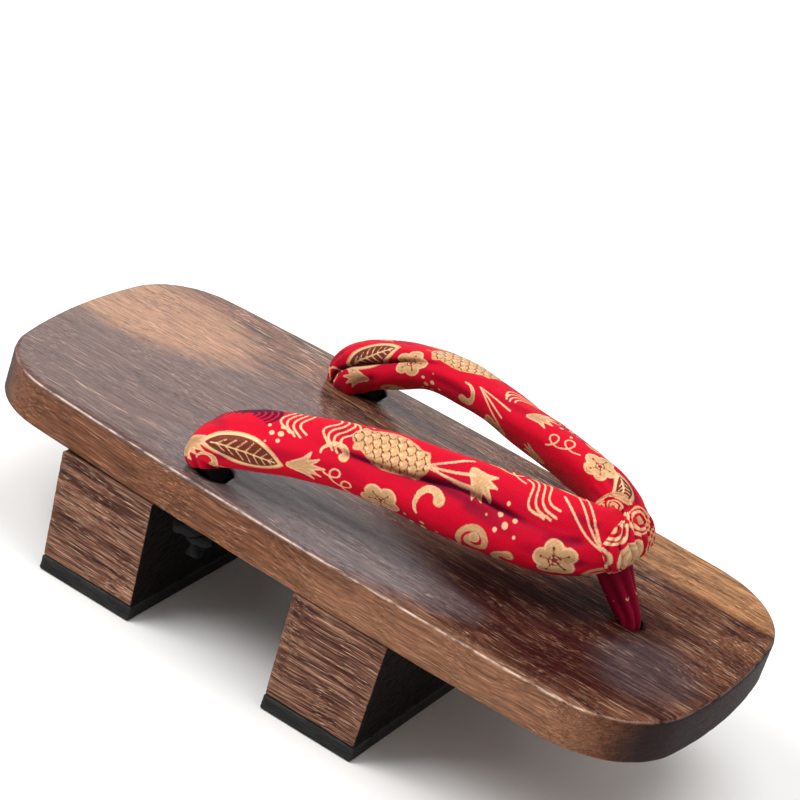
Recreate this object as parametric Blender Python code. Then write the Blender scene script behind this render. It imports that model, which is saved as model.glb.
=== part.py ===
"""Geta: a wooden clog with two teeth, rubber treads and a padded cloth thong strap.

Frame: metres, +Z up, +X from heel to toe, +Y to the wearer's left.
The origin is on the floor, under the middle of the deck's length and width.
"""
import math
from collections import namedtuple

import bmesh
import bpy
from mathutils import Vector

MM = 0.001
GAP = 0.3 * MM                      # clearance between pieces that meet

# deck: a flat board whose outline is six arcs, tangent to each other
DECK_LENGTH = 260.0 * MM
DECK_WIDTH = 121.6 * MM             # at the widest place
DECK_WIDEST_X = 40.0 * MM
DECK_THICKNESS = 15.3 * MM
DECK_UNDERSIDE = 43.6 * MM
DECK_TOP = DECK_UNDERSIDE + DECK_THICKNESS
SIDE_ARC = 1890.0 * MM
TOE_ARC = 203.0 * MM
TOE_CORNER = 33.5 * MM
HEEL_ARC = 205.0 * MM
HEEL_CORNER = 27.8 * MM
TOP_ROUNDING = 1.4 * MM
UNDER_ROUNDING = 1.0 * MM

# teeth: blocks glued under the deck, flush with its sides
TOOTH_INSET = 0.3 * MM
TOOTH_ROUNDING = 0.5 * MM
RUBBER_THICKNESS = 5.5 * MM
RUBBER_PROUD = 0.4 * MM             # by which a tread stands out behind and before its tooth
RUBBER_ROUNDING = 0.6 * MM
Tooth = namedtuple("Tooth", "name top_back top_front foot_back foot_front")
TEETH = (
    Tooth("rear", -87.5 * MM, -51.1 * MM, -83.9 * MM, -48.2 * MM),
    Tooth("front", 5.1 * MM, 40.7 * MM, 6.6 * MM, 40.8 * MM),
)

# holes through the deck
FRONT_HOLE_X = 91.0 * MM
FRONT_HOLE_RADIUS = 3.9 * MM
REAR_HOLE_X = -38.5 * MM
REAR_HOLE_Y = 47.5 * MM
REAR_HOLE_RADIUS = 5.5 * MM
HOLE_SIDES = 24

# strap: one padded tube from hole to hole, folded in two at the toe thong.
# Rows run from the right rear hole to the fold and back to the left rear hole.
# heading: plan direction of the run in degrees; roll: how far the inner edge is turned up;
# width and height: of the section; crease_at: angle of the lengthwise crease on the section,
# 0 at the inner edge, 90 on the upper face and 180 at the outer edge.
Row = namedtuple("Row", "x y z heading roll width height crease_at crease")
STRAP_ROWS = (
    Row(-42.7, -47.6, 61.7, 6, 0, 16.0, 10.6, 90, 0.0),
    Row(-43.0, -47.3, 64.8, 6, 0, 19.6, 13.6, 90, 0.2),
    Row(-41.2, -46.8, 68.4, 6, 2, 22.0, 15.2, 90, 0.3),
    Row(-37.4, -46.0, 71.3, 7, 5, 23.0, 16.2, 88, 0.3),
    Row(-32.2, -44.9, 73.3, 8, 10, 23.5, 16.6, 85, 0.3),
    Row(-25.0, -43.0, 75.4, 11, 15, 24.0, 16.5, 80, 0.3),
    Row(-13.0, -40.0, 78.4, 14, 20, 24.5, 16.0, 72, 0.5),
    Row(1.0, -36.0, 81.0, 16, 25, 25.0, 15.8, 66, 1.0),
    Row(16.0, -31.4, 82.2, 17, 31, 26.0, 15.8, 68, 1.8),
    Row(31.0, -26.6, 82.2, 18, 38, 27.0, 16.0, 76, 2.5),
    Row(45.0, -21.8, 82.0, 19, 44, 27.0, 16.4, 84, 2.7),
    Row(57.5, -17.6, 82.2, 22, 48, 26.5, 17.0, 90, 2.5),
    Row(67.0, -13.6, 82.8, 32, 50, 25.0, 17.2, 95, 1.9),
    Row(73.8, -8.2, 83.8, 52, 50, 21.5, 16.0, 98, 0.8),
    Row(76.4, 0.0, 84.6, 90, 48, 17.5, 13.0, 90, 0.0),
    Row(74.2, 8.2, 85.6, 128, 50, 21.5, 15.0, 70, 0.3),
    Row(67.0, 13.8, 87.0, 148, 50, 24.0, 14.8, 66, 0.6),
    Row(57.0, 18.4, 87.3, 157, 46, 25.0, 14.5, 62, 0.8),
    Row(43.0, 24.4, 86.5, 159, 42, 25.5, 14.2, 58, 0.6),
    Row(27.0, 30.6, 85.0, 161, 36, 25.0, 14.0, 54, 0.5),
    Row(10.0, 36.2, 84.6, 164, 29, 24.5, 14.0, 48, 0.6),
    Row(-6.0, 40.2, 83.2, 168, 22, 24.0, 14.2, 40, 1.2),
    Row(-19.0, 42.6, 80.0, 171, 16, 23.5, 14.6, 34, 2.2),
    Row(-30.0, 43.8, 75.4, 174, 10, 23.0, 15.2, 30, 2.6),
    Row(-37.4, 44.4, 71.8, 174, 5, 22.5, 15.4, 30, 2.6),
    Row(-41.6, 44.9, 68.3, 174, 2, 21.5, 15.0, 30, 2.2),
    Row(-43.2, 45.4, 64.8, 174, 0, 19.6, 13.6, 30, 1.4),
    Row(-43.0, 46.0, 62.0, 174, 0, 16.0, 10.6, 30, 0.4),
)
STRAP_STEPS = 3                     # stations between two rows
STRAP_SIDES = 32
SECTION_SQUARENESS = 2.3            # 2 is an ellipse
CREASE_SPREAD = 20.0                # degrees

# toe thong: a band around the strap's fold, gathered into a post that goes down the front hole
BAND_WIDTH = 16.0 * MM
BAND_THICKNESS = 1.3 * MM
BAND_GATHER = 3.6 * MM              # thickness below, where the band turns into the post
BAND_STEPS = 8
FOLD_REACH = 6.5 * MM               # farthest that the band spreads along the strap's middle line
FOLD_RADIUS = 12.0 * MM             # of the strap's middle line at the fold

# round cords and posts: centre, radius along X, radius along Y
Bead = namedtuple("Bead", "x y z rx ry")
POST_BEADS = (
    Bead(78.2, 0.0, 74.4, 4.2, 4.2),
    Bead(79.8, 0.0, 71.8, 5.2, 4.4),
    Bead(83.2, 0.0, 67.6, 4.2, 4.0),
    Bead(87.0, 0.0, 63.4, 3.0, 3.3),
    Bead(90.2, 0.0, 60.0, 2.6, 2.8),
    Bead(91.0, 0.0, 55.0, 3.2, 3.3),
    Bead(91.0, 0.0, 46.0, 3.3, 3.3),
    Bead(91.0, 0.0, 43.4, 3.3, 3.3),
    Bead(91.0, 0.0, 42.5, 5.8, 6.0),
    Bead(91.0, 0.0, 40.4, 7.4, 7.8),
    Bead(91.0, 0.0, 36.6, 7.2, 7.6),
    Bead(91.0, 0.0, 34.2, 4.6, 5.2),
    Bead(91.6, 0.0, 31.6, 3.2, 3.8),
    Bead(92.6, 0.0, 28.6, 2.8, 3.6),
)
CORD_BEADS = (
    Bead(-38.5, 47.5, 59.9, 4.8, 4.8),
    Bead(-38.5, 47.5, 56.5, 4.9, 4.9),
    Bead(-38.5, 47.5, 46.0, 4.9, 4.9),
    Bead(-38.5, 47.5, 43.4, 4.9, 4.9),
    Bead(-38.5, 47.5, 42.5, 6.6, 6.6),
    Bead(-38.5, 47.5, 40.4, 7.9, 7.9),
    Bead(-38.5, 47.5, 36.6, 7.6, 7.6),
    Bead(-38.5, 47.5, 34.2, 5.2, 5.2),
    Bead(-38.2, 47.3, 31.6, 3.4, 3.4),
    Bead(-37.4, 47.0, 28.6, 3.0, 3.0),
)
BEAD_SIDES = 16


def clear_scene():
    for item in list(bpy.data.objects):
        bpy.data.objects.remove(item, do_unlink=True)


def material(name, colour, roughness):
    made = bpy.data.materials.new(name)
    made.use_nodes = True
    shader = made.node_tree.nodes["Principled BSDF"]
    shader.inputs["Base Color"].default_value = (*colour, 1.0)
    shader.inputs["Roughness"].default_value = roughness
    shader.inputs["Metallic"].default_value = 0.0
    return made


def add_object(name, mesh, finish, sharp_angle=35.0):
    mesh.materials.append(finish)
    mesh.shade_smooth()
    mesh.set_sharp_from_angle(angle=math.radians(sharp_angle))
    made = bpy.data.objects.new(name, mesh)
    bpy.context.scene.collection.objects.link(made)
    return made


def mesh_from(name, bm):
    """A mesh whose faces all point out of the body that they close."""
    bmesh.ops.recalc_face_normals(bm, faces=bm.faces)
    if bm.calc_volume(signed=True) < 0:
        bmesh.ops.reverse_faces(bm, faces=bm.faces)
    mesh = bpy.data.meshes.new(name)
    bm.to_mesh(mesh)
    bm.free()
    return mesh


def skin_rings(name, rings):
    """A closed mesh through equal rings of points, with a flat cap at each end."""
    bm = bmesh.new()
    loops = [[bm.verts.new(point) for point in ring] for ring in rings]
    sides = len(loops[0])
    for lower, upper in zip(loops, loops[1:]):
        for i in range(sides):
            j = (i + 1) % sides
            bm.faces.new((lower[i], lower[j], upper[j], upper[i]))
    bm.faces.new(reversed(loops[0]))
    bm.faces.new(loops[-1])
    return mesh_from(name, bm)


def corner_centre(end_x, end_radius, side_radius, half_width, corner_radius):
    """Centre of the corner arc that touches an end arc and the side arc from inside."""
    end_centre = Vector((end_x - math.copysign(end_radius, end_x), 0.0))
    side_centre = Vector((DECK_WIDEST_X, half_width - side_radius))
    from_end = end_radius - corner_radius
    from_side = side_radius - corner_radius
    line = side_centre - end_centre
    span = line.length
    along = (from_end ** 2 - from_side ** 2 + span ** 2) / (2.0 * span)
    across = math.sqrt(from_end ** 2 - along ** 2)
    foot = end_centre + line * (along / span)
    normal = Vector((-line.y, line.x)) / span
    return max(foot + normal * across, foot - normal * across, key=lambda p: p.y)


def arc(centre, radius, first, last, steps):
    """Points of an arc between two directions in radians, without its last point."""
    turn = (last - first) / steps
    return [(centre[0] + radius * math.cos(first + turn * i),
             centre[1] + radius * math.sin(first + turn * i)) for i in range(steps)]


def direction(start, end):
    return math.atan2(end[1] - start[1], end[0] - start[0])


def deck_outline(inset=0.0):
    """The deck's plan outline, drawn in by inset, counter-clockwise from the toe tip."""
    half_width = DECK_WIDTH / 2 - inset
    side = SIDE_ARC - inset
    toe_x = DECK_LENGTH / 2 - inset
    toe_end = TOE_ARC - inset
    toe_corner = TOE_CORNER - inset
    heel_end = HEEL_ARC - inset
    heel_corner = HEEL_CORNER - inset
    toe_centre = (toe_x - toe_end, 0.0)
    heel_centre = (heel_end - toe_x, 0.0)
    side_centre = (DECK_WIDEST_X, half_width - side)
    toe_mid = corner_centre(toe_x, toe_end, side, half_width, toe_corner)
    heel_mid = corner_centre(-toe_x, heel_end, side, half_width, heel_corner)
    toe_turn = direction(toe_centre, toe_mid)
    heel_turn = direction(heel_centre, heel_mid)
    side_front = direction(side_centre, toe_mid)
    side_back = direction(side_centre, heel_mid)
    half = arc(toe_centre, toe_end, 0.0, toe_turn, 4)
    half += arc(toe_mid, toe_corner, toe_turn, side_front, 9)
    half += arc(side_centre, side, side_front, side_back, 12)
    half += arc(heel_mid, heel_corner, side_back, heel_turn, 9)
    half += arc(heel_centre, heel_end, heel_turn, math.pi, 4)
    other = [(x, -y) for x, y in reversed(half[1:])]
    return half + [(-toe_x, 0.0)] + other


def half_width_at(x, inset=0.0):
    """Half of the deck's width at x, on its side arcs."""
    centre_y = DECK_WIDTH / 2 - SIDE_ARC
    return centre_y + math.sqrt(SIDE_ARC ** 2 - (x - DECK_WIDEST_X) ** 2) - inset


def cylinder_cutter(name, x, y, radius):
    bm = bmesh.new()
    bmesh.ops.create_cone(bm, cap_ends=True, segments=HOLE_SIDES, radius1=radius,
                          radius2=radius, depth=DECK_THICKNESS * 2)
    cutter = bpy.data.objects.new(name, mesh_from(name, bm))
    cutter.location = (x, y, DECK_UNDERSIDE + DECK_THICKNESS / 2)
    cutter.hide_render = True
    cutter.display_type = "WIRE"
    bpy.context.scene.collection.objects.link(cutter)
    return cutter


def build_deck(wood):
    rings = []
    for step in range(4):
        turn = math.radians(90.0 * step / 3)
        inset = UNDER_ROUNDING * (1 - math.sin(turn))
        z = DECK_UNDERSIDE + UNDER_ROUNDING * (1 - math.cos(turn))
        rings.append([(x, y, z) for x, y in deck_outline(inset)])
    for step in range(4):
        turn = math.radians(90.0 * step / 3)
        inset = TOP_ROUNDING * (1 - math.cos(turn))
        z = DECK_TOP - TOP_ROUNDING * (1 - math.sin(turn))
        rings.append([(x, y, z) for x, y in deck_outline(inset)])
    deck = add_object("deck", skin_rings("deck", rings), wood)
    holes = (
        ("front_hole", FRONT_HOLE_X, 0.0, FRONT_HOLE_RADIUS),
        ("rear_hole_left", REAR_HOLE_X, REAR_HOLE_Y, REAR_HOLE_RADIUS),
        ("rear_hole_right", REAR_HOLE_X, -REAR_HOLE_Y, REAR_HOLE_RADIUS),
    )
    for name, x, y, radius in holes:
        cut = deck.modifiers.new(name, "BOOLEAN")
        cut.operation = "DIFFERENCE"
        cut.solver = "EXACT"
        cut.object = cylinder_cutter(name, x, y, radius)
    deck.modifiers.new("even_shading", "WEIGHTED_NORMAL")
    return deck


def block(name, low, high, rounding, finish):
    """A block between two rectangles (back, front, half width back and front, z)."""
    bm = bmesh.new()
    corners = []
    for back, front, half_back, half_front, z in (low, high):
        corners.append([bm.verts.new(point) for point in (
            (back, -half_back, z), (front, -half_front, z),
            (front, half_front, z), (back, half_back, z))])
    bottom, top = corners
    bm.faces.new(reversed(bottom))
    bm.faces.new(top)
    for i in range(4):
        j = (i + 1) % 4
        bm.faces.new((bottom[i], bottom[j], top[j], top[i]))
    made = add_object(name, mesh_from(name, bm), finish)
    bevel = made.modifiers.new("rounding", "BEVEL")
    bevel.width = rounding
    bevel.segments = 2
    return made


def build_teeth(wood, rubber):
    for tooth in TEETH:
        half_back = half_width_at(tooth.top_back, TOOTH_INSET)
        half_front = half_width_at(tooth.top_front, TOOTH_INSET)
        foot = (tooth.foot_back, tooth.foot_front, half_back, half_front, RUBBER_THICKNESS + GAP)
        top = (tooth.top_back, tooth.top_front, half_back, half_front, DECK_UNDERSIDE - GAP)
        block(tooth.name + "_tooth", foot, top, TOOTH_ROUNDING, wood)
        tread = (tooth.foot_back - RUBBER_PROUD, tooth.foot_front + RUBBER_PROUD,
                 half_back, half_front)
        block(tooth.name + "_tread", (*tread, 0.0), (*tread, RUBBER_THICKNESS),
              RUBBER_ROUNDING, rubber)


def catmull(p0, p1, p2, p3, t):
    """A value between p1 and p2 on the smooth curve through four rows."""
    return 0.5 * (2 * p1 + (p2 - p0) * t + (2 * p0 - 5 * p1 + 4 * p2 - p3) * t * t
                  + (3 * p1 - p0 - 3 * p2 + p3) * t ** 3)


def beyond(first, second):
    """The row that would come before two rows, on the line through them."""
    return [2 * a - b for a, b in zip(first, second)]


def smooth_rows(rows, place):
    """All columns of a table at a place counted in rows, such as 2.5."""
    last = len(rows) - 1
    i = min(max(int(math.floor(place)), 0), last - 1)
    t = place - i
    before = rows[i - 1] if i > 0 else beyond(rows[0], rows[1])
    after = rows[i + 2] if i + 2 <= last else beyond(rows[-1], rows[-2])
    columns = zip(before, rows[i], rows[i + 1], after)
    return type(rows[0])(*(catmull(*column, t) for column in columns))


def strap_frame(place):
    """Centre, width axis, height axis and row of the strap at a place counted in rows."""
    step = 0.02
    row = smooth_rows(STRAP_ROWS, place)
    ahead = smooth_rows(STRAP_ROWS, min(place + step, len(STRAP_ROWS) - 1))
    behind = smooth_rows(STRAP_ROWS, max(place - step, 0))
    run = Vector((ahead.x - behind.x, ahead.y - behind.y, ahead.z - behind.z)).normalized()
    heading = math.radians(row.heading)
    level_axis = Vector((-math.sin(heading), math.cos(heading), 0.0))
    level_axis = (level_axis - run * level_axis.dot(run)).normalized()
    raised_axis = run.cross(level_axis)
    roll = math.radians(row.roll)
    width_axis = level_axis * math.cos(roll) + raised_axis * math.sin(roll)
    height_axis = run.cross(width_axis)
    centre = Vector((row.x, row.y, row.z)) * MM
    return centre, width_axis, height_axis, row


def strap_point(place, angle, lift=0.0):
    """A point of the strap's skin, or lift above it, at an angle in degrees."""
    centre, width_axis, height_axis, row = strap_frame(place)
    turn = math.radians(angle)
    c, s = math.cos(turn), math.sin(turn)
    power = SECTION_SQUARENESS
    reach = (abs(c) ** power + abs(s) ** power) ** (-1 / power)
    off = (angle - row.crease_at + 180.0) % 360.0 - 180.0
    trough = row.crease * math.exp(-(off / CREASE_SPREAD) ** 2)
    across = (row.width / 2 * reach - trough) * MM + lift
    upward = (row.height / 2 * reach - trough) * MM + lift
    return centre + width_axis * (c * across) + height_axis * (s * upward)


def build_strap(cloth):
    stations = (len(STRAP_ROWS) - 1) * STRAP_STEPS + 1
    rings = []
    for i in range(stations):
        place = i / STRAP_STEPS
        rings.append([strap_point(place, 360.0 * k / STRAP_SIDES) for k in range(STRAP_SIDES)])
    return add_object("strap", skin_rings("strap", rings), cloth)


def bead_rings(beads, steps, mirror=1):
    """Round rings, square to the run, along a smooth curve through the beads."""
    rings = []
    last = len(beads) - 1
    for i in range(last * steps + 1):
        place = i / steps
        bead = smooth_rows(beads, place)
        ahead = smooth_rows(beads, min(place + 0.02, last))
        behind = smooth_rows(beads, max(place - 0.02, 0))
        run = Vector((ahead.x - behind.x, ahead.y - behind.y, ahead.z - behind.z)).normalized()
        side = Vector((0.0, 1.0, 0.0))
        side = (side - run * side.dot(run)).normalized()
        front = side.cross(run)
        ring = []
        for k in range(BEAD_SIDES):
            turn = 2 * math.pi * k / BEAD_SIDES
            point = Vector((bead.x, bead.y, bead.z))
            point += front * bead.rx * math.cos(turn) + side * bead.ry * math.sin(turn)
            ring.append((point.x * MM, point.y * MM * mirror, point.z * MM))
        rings.append(ring)
    return rings


def build_cords(cord):
    for name, mirror in (("left", 1), ("right", -1)):
        rings = bead_rings(CORD_BEADS, 2, mirror)
        add_object("knotted_cord_" + name, skin_rings("cord_" + name, rings), cord)


def band_ring(share, lift):
    """One edge-to-edge ring of the band: share runs from -1 to 1 across its width."""
    fold = next(i for i, row in enumerate(STRAP_ROWS) if row.y == 0.0)
    spacing = (Vector((STRAP_ROWS[fold].x, STRAP_ROWS[fold].y))
               - Vector((STRAP_ROWS[fold - 1].x, STRAP_ROWS[fold - 1].y))).length * MM
    ring = []
    for k in range(STRAP_SIDES):
        angle = 360.0 * k / STRAP_SIDES
        outward = -math.cos(math.radians(angle))
        radius = FOLD_RADIUS + outward * STRAP_ROWS[fold].width / 2 * MM
        spread = min(BAND_WIDTH / 2 * FOLD_RADIUS / radius, FOLD_REACH)
        below = max(0.0, -math.sin(math.radians(angle))) ** 2
        thick = lift
        if lift > GAP:
            thick += (BAND_GATHER - BAND_THICKNESS) * below
        ring.append(strap_point(fold + share * spread / spacing, angle, thick))
    return ring


def build_toe_thong(band_cloth):
    shares = [-1 + 2 * i / BAND_STEPS for i in range(BAND_STEPS + 1)]
    outer = [band_ring(share, GAP + BAND_THICKNESS) for share in shares]
    inner = [band_ring(share, GAP) for share in shares]
    bm = bmesh.new()
    loops = [[bm.verts.new(point) for point in ring] for ring in outer + inner[::-1]]
    for first, second in zip(loops, loops[1:] + loops[:1]):
        for i in range(STRAP_SIDES):
            j = (i + 1) % STRAP_SIDES
            bm.faces.new((first[i], first[j], second[j], second[i]))
    thong = add_object("toe_thong", mesh_from("toe_thong", bm), band_cloth)
    post_mesh = skin_rings("toe_post", bead_rings(POST_BEADS, 2))
    post = bpy.data.objects.new("toe_post", post_mesh)
    post.hide_render = True
    post.display_type = "WIRE"
    bpy.context.scene.collection.objects.link(post)
    join = thong.modifiers.new("post", "BOOLEAN")
    join.operation = "UNION"
    join.solver = "EXACT"
    join.object = post
    return thong


def main():
    clear_scene()
    deck_wood = material("burnt_wood", (0.16, 0.085, 0.05), 0.35)
    tooth_wood = material("brushed_wood", (0.20, 0.11, 0.06), 0.6)
    rubber = material("rubber", (0.035, 0.035, 0.036), 0.8)
    cloth = material("printed_cloth", (0.80, 0.01, 0.03), 0.7)
    band_cloth = material("thong_cloth", (0.40, 0.01, 0.04), 0.7)
    cord = material("black_cord", (0.02, 0.02, 0.022), 0.8)
    build_deck(deck_wood)
    build_teeth(tooth_wood, rubber)
    build_strap(cloth)
    build_toe_thong(band_cloth)
    build_cords(cord)


main()
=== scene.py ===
# Wooden geta: a burnt, brushed and lacquered deck on two teeth, with a padded thong of printed cloth.
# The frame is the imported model's: metres, +X to the toe, +Y to the wearer's left, floor at z = 0.
# Lengths in the dictionaries are millimetres, angles are degrees and colours are 0 to 255.
import functools
import math

import bmesh
import bpy
import numpy as np
from mathutils import Matrix, Vector
from mathutils.geometry import delaunay_2d_cdt


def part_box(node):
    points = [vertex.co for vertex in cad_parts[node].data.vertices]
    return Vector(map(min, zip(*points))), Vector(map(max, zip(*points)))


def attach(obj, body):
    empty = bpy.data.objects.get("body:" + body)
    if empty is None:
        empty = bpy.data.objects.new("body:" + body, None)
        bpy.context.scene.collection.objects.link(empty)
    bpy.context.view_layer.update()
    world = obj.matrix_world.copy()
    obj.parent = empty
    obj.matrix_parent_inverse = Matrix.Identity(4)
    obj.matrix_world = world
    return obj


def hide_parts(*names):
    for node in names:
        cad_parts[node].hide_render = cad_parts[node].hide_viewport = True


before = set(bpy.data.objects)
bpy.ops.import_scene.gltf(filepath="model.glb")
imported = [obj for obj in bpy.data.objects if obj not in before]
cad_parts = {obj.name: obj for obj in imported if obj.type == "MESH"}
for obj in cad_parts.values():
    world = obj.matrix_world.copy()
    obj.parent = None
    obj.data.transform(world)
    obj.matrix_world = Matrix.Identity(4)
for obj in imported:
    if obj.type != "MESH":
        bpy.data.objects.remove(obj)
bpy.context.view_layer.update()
mm = 0.001
print("geta: frame loaded,", len(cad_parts), "nodes")


# camera and studio
photoCamera = {
    "lens": 144.3,                              # on a 36 mm wide sensor
    "place": (347.3, -839.4, 547.5),
    "forward": (-0.3472, 0.8225, -0.4506),
    "right": (0.8175, 0.5009, 0.2844),          # leans, because the picture is rolled by 18.6 degrees
}
studio = {
    "world": 0.42,
    "floor": (244, 243, 241),
    "floorHalf": 3000.0,
    "lights": (                                 # name, place, aim, width, height, watts
        ("keyLight", (-620, -560, 900), (0, 0, 60), 700, 700, 12.0),
        ("sheenLight", (-620, 1000, 560), (-70, 0, 60), 560, 380, 2.2),
        ("topLight", (150, 100, 1300), (0, 0, 60), 1000, 1000, 12.0),
    ),
}


def buildCamera():
    z = -Vector(photoCamera["forward"]).normalized()
    x = Vector(photoCamera["right"])
    x = (x - z * x.dot(z)).normalized()
    y = z.cross(x)
    turn = Matrix((x, y, z)).transposed().to_4x4()
    data = bpy.data.cameras.new("photoCamera")
    data.lens = photoCamera["lens"]
    data.sensor_width = 36.0
    camera = bpy.data.objects.new("photoCamera", data)
    camera.matrix_world = Matrix.Translation(Vector(photoCamera["place"]) * mm) @ turn
    bpy.context.scene.collection.objects.link(camera)
    bpy.context.scene.camera = camera


def linear(colour):
    parts = [c / 255 for c in colour]
    return tuple(c / 12.92 if c <= 0.04045 else ((c + 0.055) / 1.055) ** 2.4 for c in parts) + (1.0,)


# shader nodes
def put(tree, kind, **settings):
    node = tree.nodes.new(kind)
    for key, value in settings.items():
        setattr(node, key, value)
    return node


def feed(tree, socket, value):
    if isinstance(value, bpy.types.NodeSocket):
        tree.links.new(value, socket)
    else:
        socket.default_value = value


def feedAll(tree, node, values):
    for socket, value in zip(node.inputs, values):
        feed(tree, socket, value)
    return node.outputs


def sums(tree, operation, *values):
    return feedAll(tree, put(tree, "ShaderNodeMath", operation=operation), values)[0]


def product(tree, first, *others):
    for other in others:
        first = sums(tree, "MULTIPLY", first, other)
    return first


def scaled(tree, value, factor, start):
    return sums(tree, "MULTIPLY_ADD", value, factor, start)


def vectorSum(tree, operation, *values):
    return feedAll(tree, put(tree, "ShaderNodeVectorMath", operation=operation), values)[0]


def axes(tree, vector):
    return feedAll(tree, put(tree, "ShaderNodeSeparateXYZ"), (vector,))


def blend(tree, factor, first, second, kind="MIX"):
    node = put(tree, "ShaderNodeMix", data_type="RGBA", blend_type=kind)
    for number, value in zip((0, 6, 7), (factor, first, second)):
        feed(tree, node.inputs[number], value)
    return node.outputs[2]


def shadeBy(tree, colour, value):
    # the colour multiplied by one value
    tone = feedAll(tree, put(tree, "ShaderNodeCombineColor"), (value, value, value))[0]
    return blend(tree, 1.0, colour, tone, "MULTIPLY")


def ease(tree, value, low, high, first=0.0, last=1.0):
    node = put(tree, "ShaderNodeMapRange", interpolation_type="SMOOTHSTEP")
    return feedAll(tree, node, (value, low, high, first, last))[0]


def noiseNode(tree, vector, scale, detail=3.0, roughness=0.55, distortion=0.0):
    node = put(tree, "ShaderNodeTexNoise")
    for name, value in (("Vector", vector), ("Scale", scale), ("Detail", detail),
                        ("Roughness", roughness), ("Distortion", distortion)):
        feed(tree, node.inputs[name], value)
    return node.outputs[0]


@functools.cache
def columnOf(node):
    # how many nodes follow this one on the longest way to the end of its tree
    return max((columnOf(link.to_node) + 1 for socket in node.outputs for link in socket.links), default=0)


def arrange(tree):
    # lays the nodes out in columns, each left of what it feeds
    rows = {}
    for node in tree.nodes:
        column = columnOf(node)
        rows[column] = rows.get(column, -1) + 1
        node.location = (-220 * column, -240 * rows[column])


def startGroup(name, inputs, outputs):
    group = bpy.data.node_groups.new(name, "ShaderNodeTree")
    for label, kind, value in inputs:
        socket = group.interface.new_socket(label, in_out="INPUT", socket_type="NodeSocket" + kind)
        if value is not None:
            socket.default_value = value
    for label in outputs:
        group.interface.new_socket(label, in_out="OUTPUT", socket_type="NodeSocketFloat")
    return group, put(group, "NodeGroupInput").outputs, put(group, "NodeGroupOutput").inputs


def useGroup(tree, group, **values):
    node = put(tree, "ShaderNodeGroup", node_tree=group)
    for name, value in values.items():
        feed(tree, node.inputs[name], value)
    return node.outputs


brushedGrain = {
    "bendScale": 0.012, "bend": 14.0,           # the lines wander sideways by up to this many millimetres
    "distortion": 0.2,
    "parts": (      # output, stretch of the flow, detail, roughness, and the values that become 0 and 1
        ("Band", (0.32, 0.2, 0.2), 2.0, 0.5, 0.3, 0.7),
        ("Streak", (1.0, 1.0, 1.0), 4.0, 0.62, 0.28, 0.72),
        ("Fibre", (1.6, 3.4, 3.4), 2.0, 0.6, 0.3, 0.7),
        ("Dash", (1.5, 2.3, 2.3), 2.0, 0.55, 0.57, 0.68),
        ("Pore", (4.0, 2.6, 2.6), 2.0, 0.5, 0.58, 0.68),
    ),
}


def makeBrushedGrain():
    # long streaks, thin fibres and short open pores, all drawn out along X
    group, given, result = startGroup(
        "brushedGrain",
        (("Position", "Vector", None), ("Along", "Float", 30.0), ("Across", "Float", 2.0),
         ("Shift", "Float", 0.0)),
        [part[0] for part in brushedGrain["parts"]])
    bend = noiseNode(group, given["Position"], brushedGrain["bendScale"], 2.0)
    bend = product(group, bend, brushedGrain["bend"])
    x, y, z = axes(group, given["Position"])
    along = sums(group, "DIVIDE", x, given["Along"])
    across = [sums(group, "DIVIDE", sums(group, "ADD", part, bend), given["Across"]) for part in (y, z)]
    flow = feedAll(group, put(group, "ShaderNodeCombineXYZ"), (along, *across))[0]
    shift = feedAll(group, put(group, "ShaderNodeCombineXYZ"), (given["Shift"],))[0]
    flow = vectorSum(group, "ADD", flow, shift)
    for i, (name, stretch, detail, roughness, low, high) in enumerate(brushedGrain["parts"]):
        moved = vectorSum(group, "ADD", vectorSum(group, "MULTIPLY", flow, stretch), (9.0 * i, 0.0, 0.0))
        value = noiseNode(group, moved, 1.0, detail, roughness, brushedGrain["distortion"])
        feed(group, result[name], ease(group, value, low, high))
    arrange(group)
    return group


def makePatch():
    # a soft oval patch with a ragged edge
    group, given, result = startGroup(
        "softPatch",
        (("Position", "Vector", None), ("Centre", "Vector", None), ("Reach", "Vector", None),
         ("Ragged", "Float", 0.3)),
        ("Mask",))
    local = vectorSum(group, "SUBTRACT", given["Position"], given["Centre"])
    local = vectorSum(group, "DIVIDE", local, given["Reach"])
    away = feedAll(group, put(group, "ShaderNodeVectorMath", operation="LENGTH"), (local,))["Value"]
    stretched = vectorSum(group, "MULTIPLY", given["Position"], (0.012, 0.11, 0.11))
    ragged = product(group, noiseNode(group, stretched, 1.0, 4.0, 0.6), given["Ragged"])
    feed(group, result["Mask"], ease(group, sums(group, "SUBTRACT", away, ragged), 1.0, 0.35))
    arrange(group)
    return group


def makeEdgeWearAndHighlight():
    # worn spots along the edges that the rim layer marks, which on the deck's top rim also paint a highlight
    group, given, result = startGroup(
        "edgeWearAndHighlight",
        (("Rim", "Float", 0.0), ("Position", "Vector", None), ("Amount", "Float", 1.0)),
        ("Mask",))
    broken = ease(group, noiseNode(group, given["Position"], 0.16, 3.0, 0.65), 0.32, 0.62)
    feed(group, result["Mask"], product(group, given["Rim"], broken, given["Amount"]))
    arrange(group)
    return group


def makeWeave():
    # plain weave: threads of a given pitch cross over and under
    group, given, result = startGroup(
        "clothWeave", (("Map", "Vector", None), ("Pitch", "Float", 0.5)), ("Height", "Thread"))
    beat = sums(group, "DIVIDE", math.pi, given["Pitch"])
    waves = [sums(group, "SINE", product(group, part, beat)) for part in axes(group, given["Map"])[:2]]
    feed(group, result["Height"], scaled(group, product(group, *waves), 0.5, 0.5))
    slubs = vectorSum(group, "MULTIPLY", given["Map"], (0.25, 1.6, 1.0))
    feed(group, result["Thread"], noiseNode(group, slubs, 1.0, 2.0, 0.6))
    arrange(group)
    return group


grainGroup = makeBrushedGrain()
patchGroup = makePatch()
wearAndHighlightGroup = makeEdgeWearAndHighlight()
weaveGroup = makeWeave()
print("geta: node groups ready")


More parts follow.
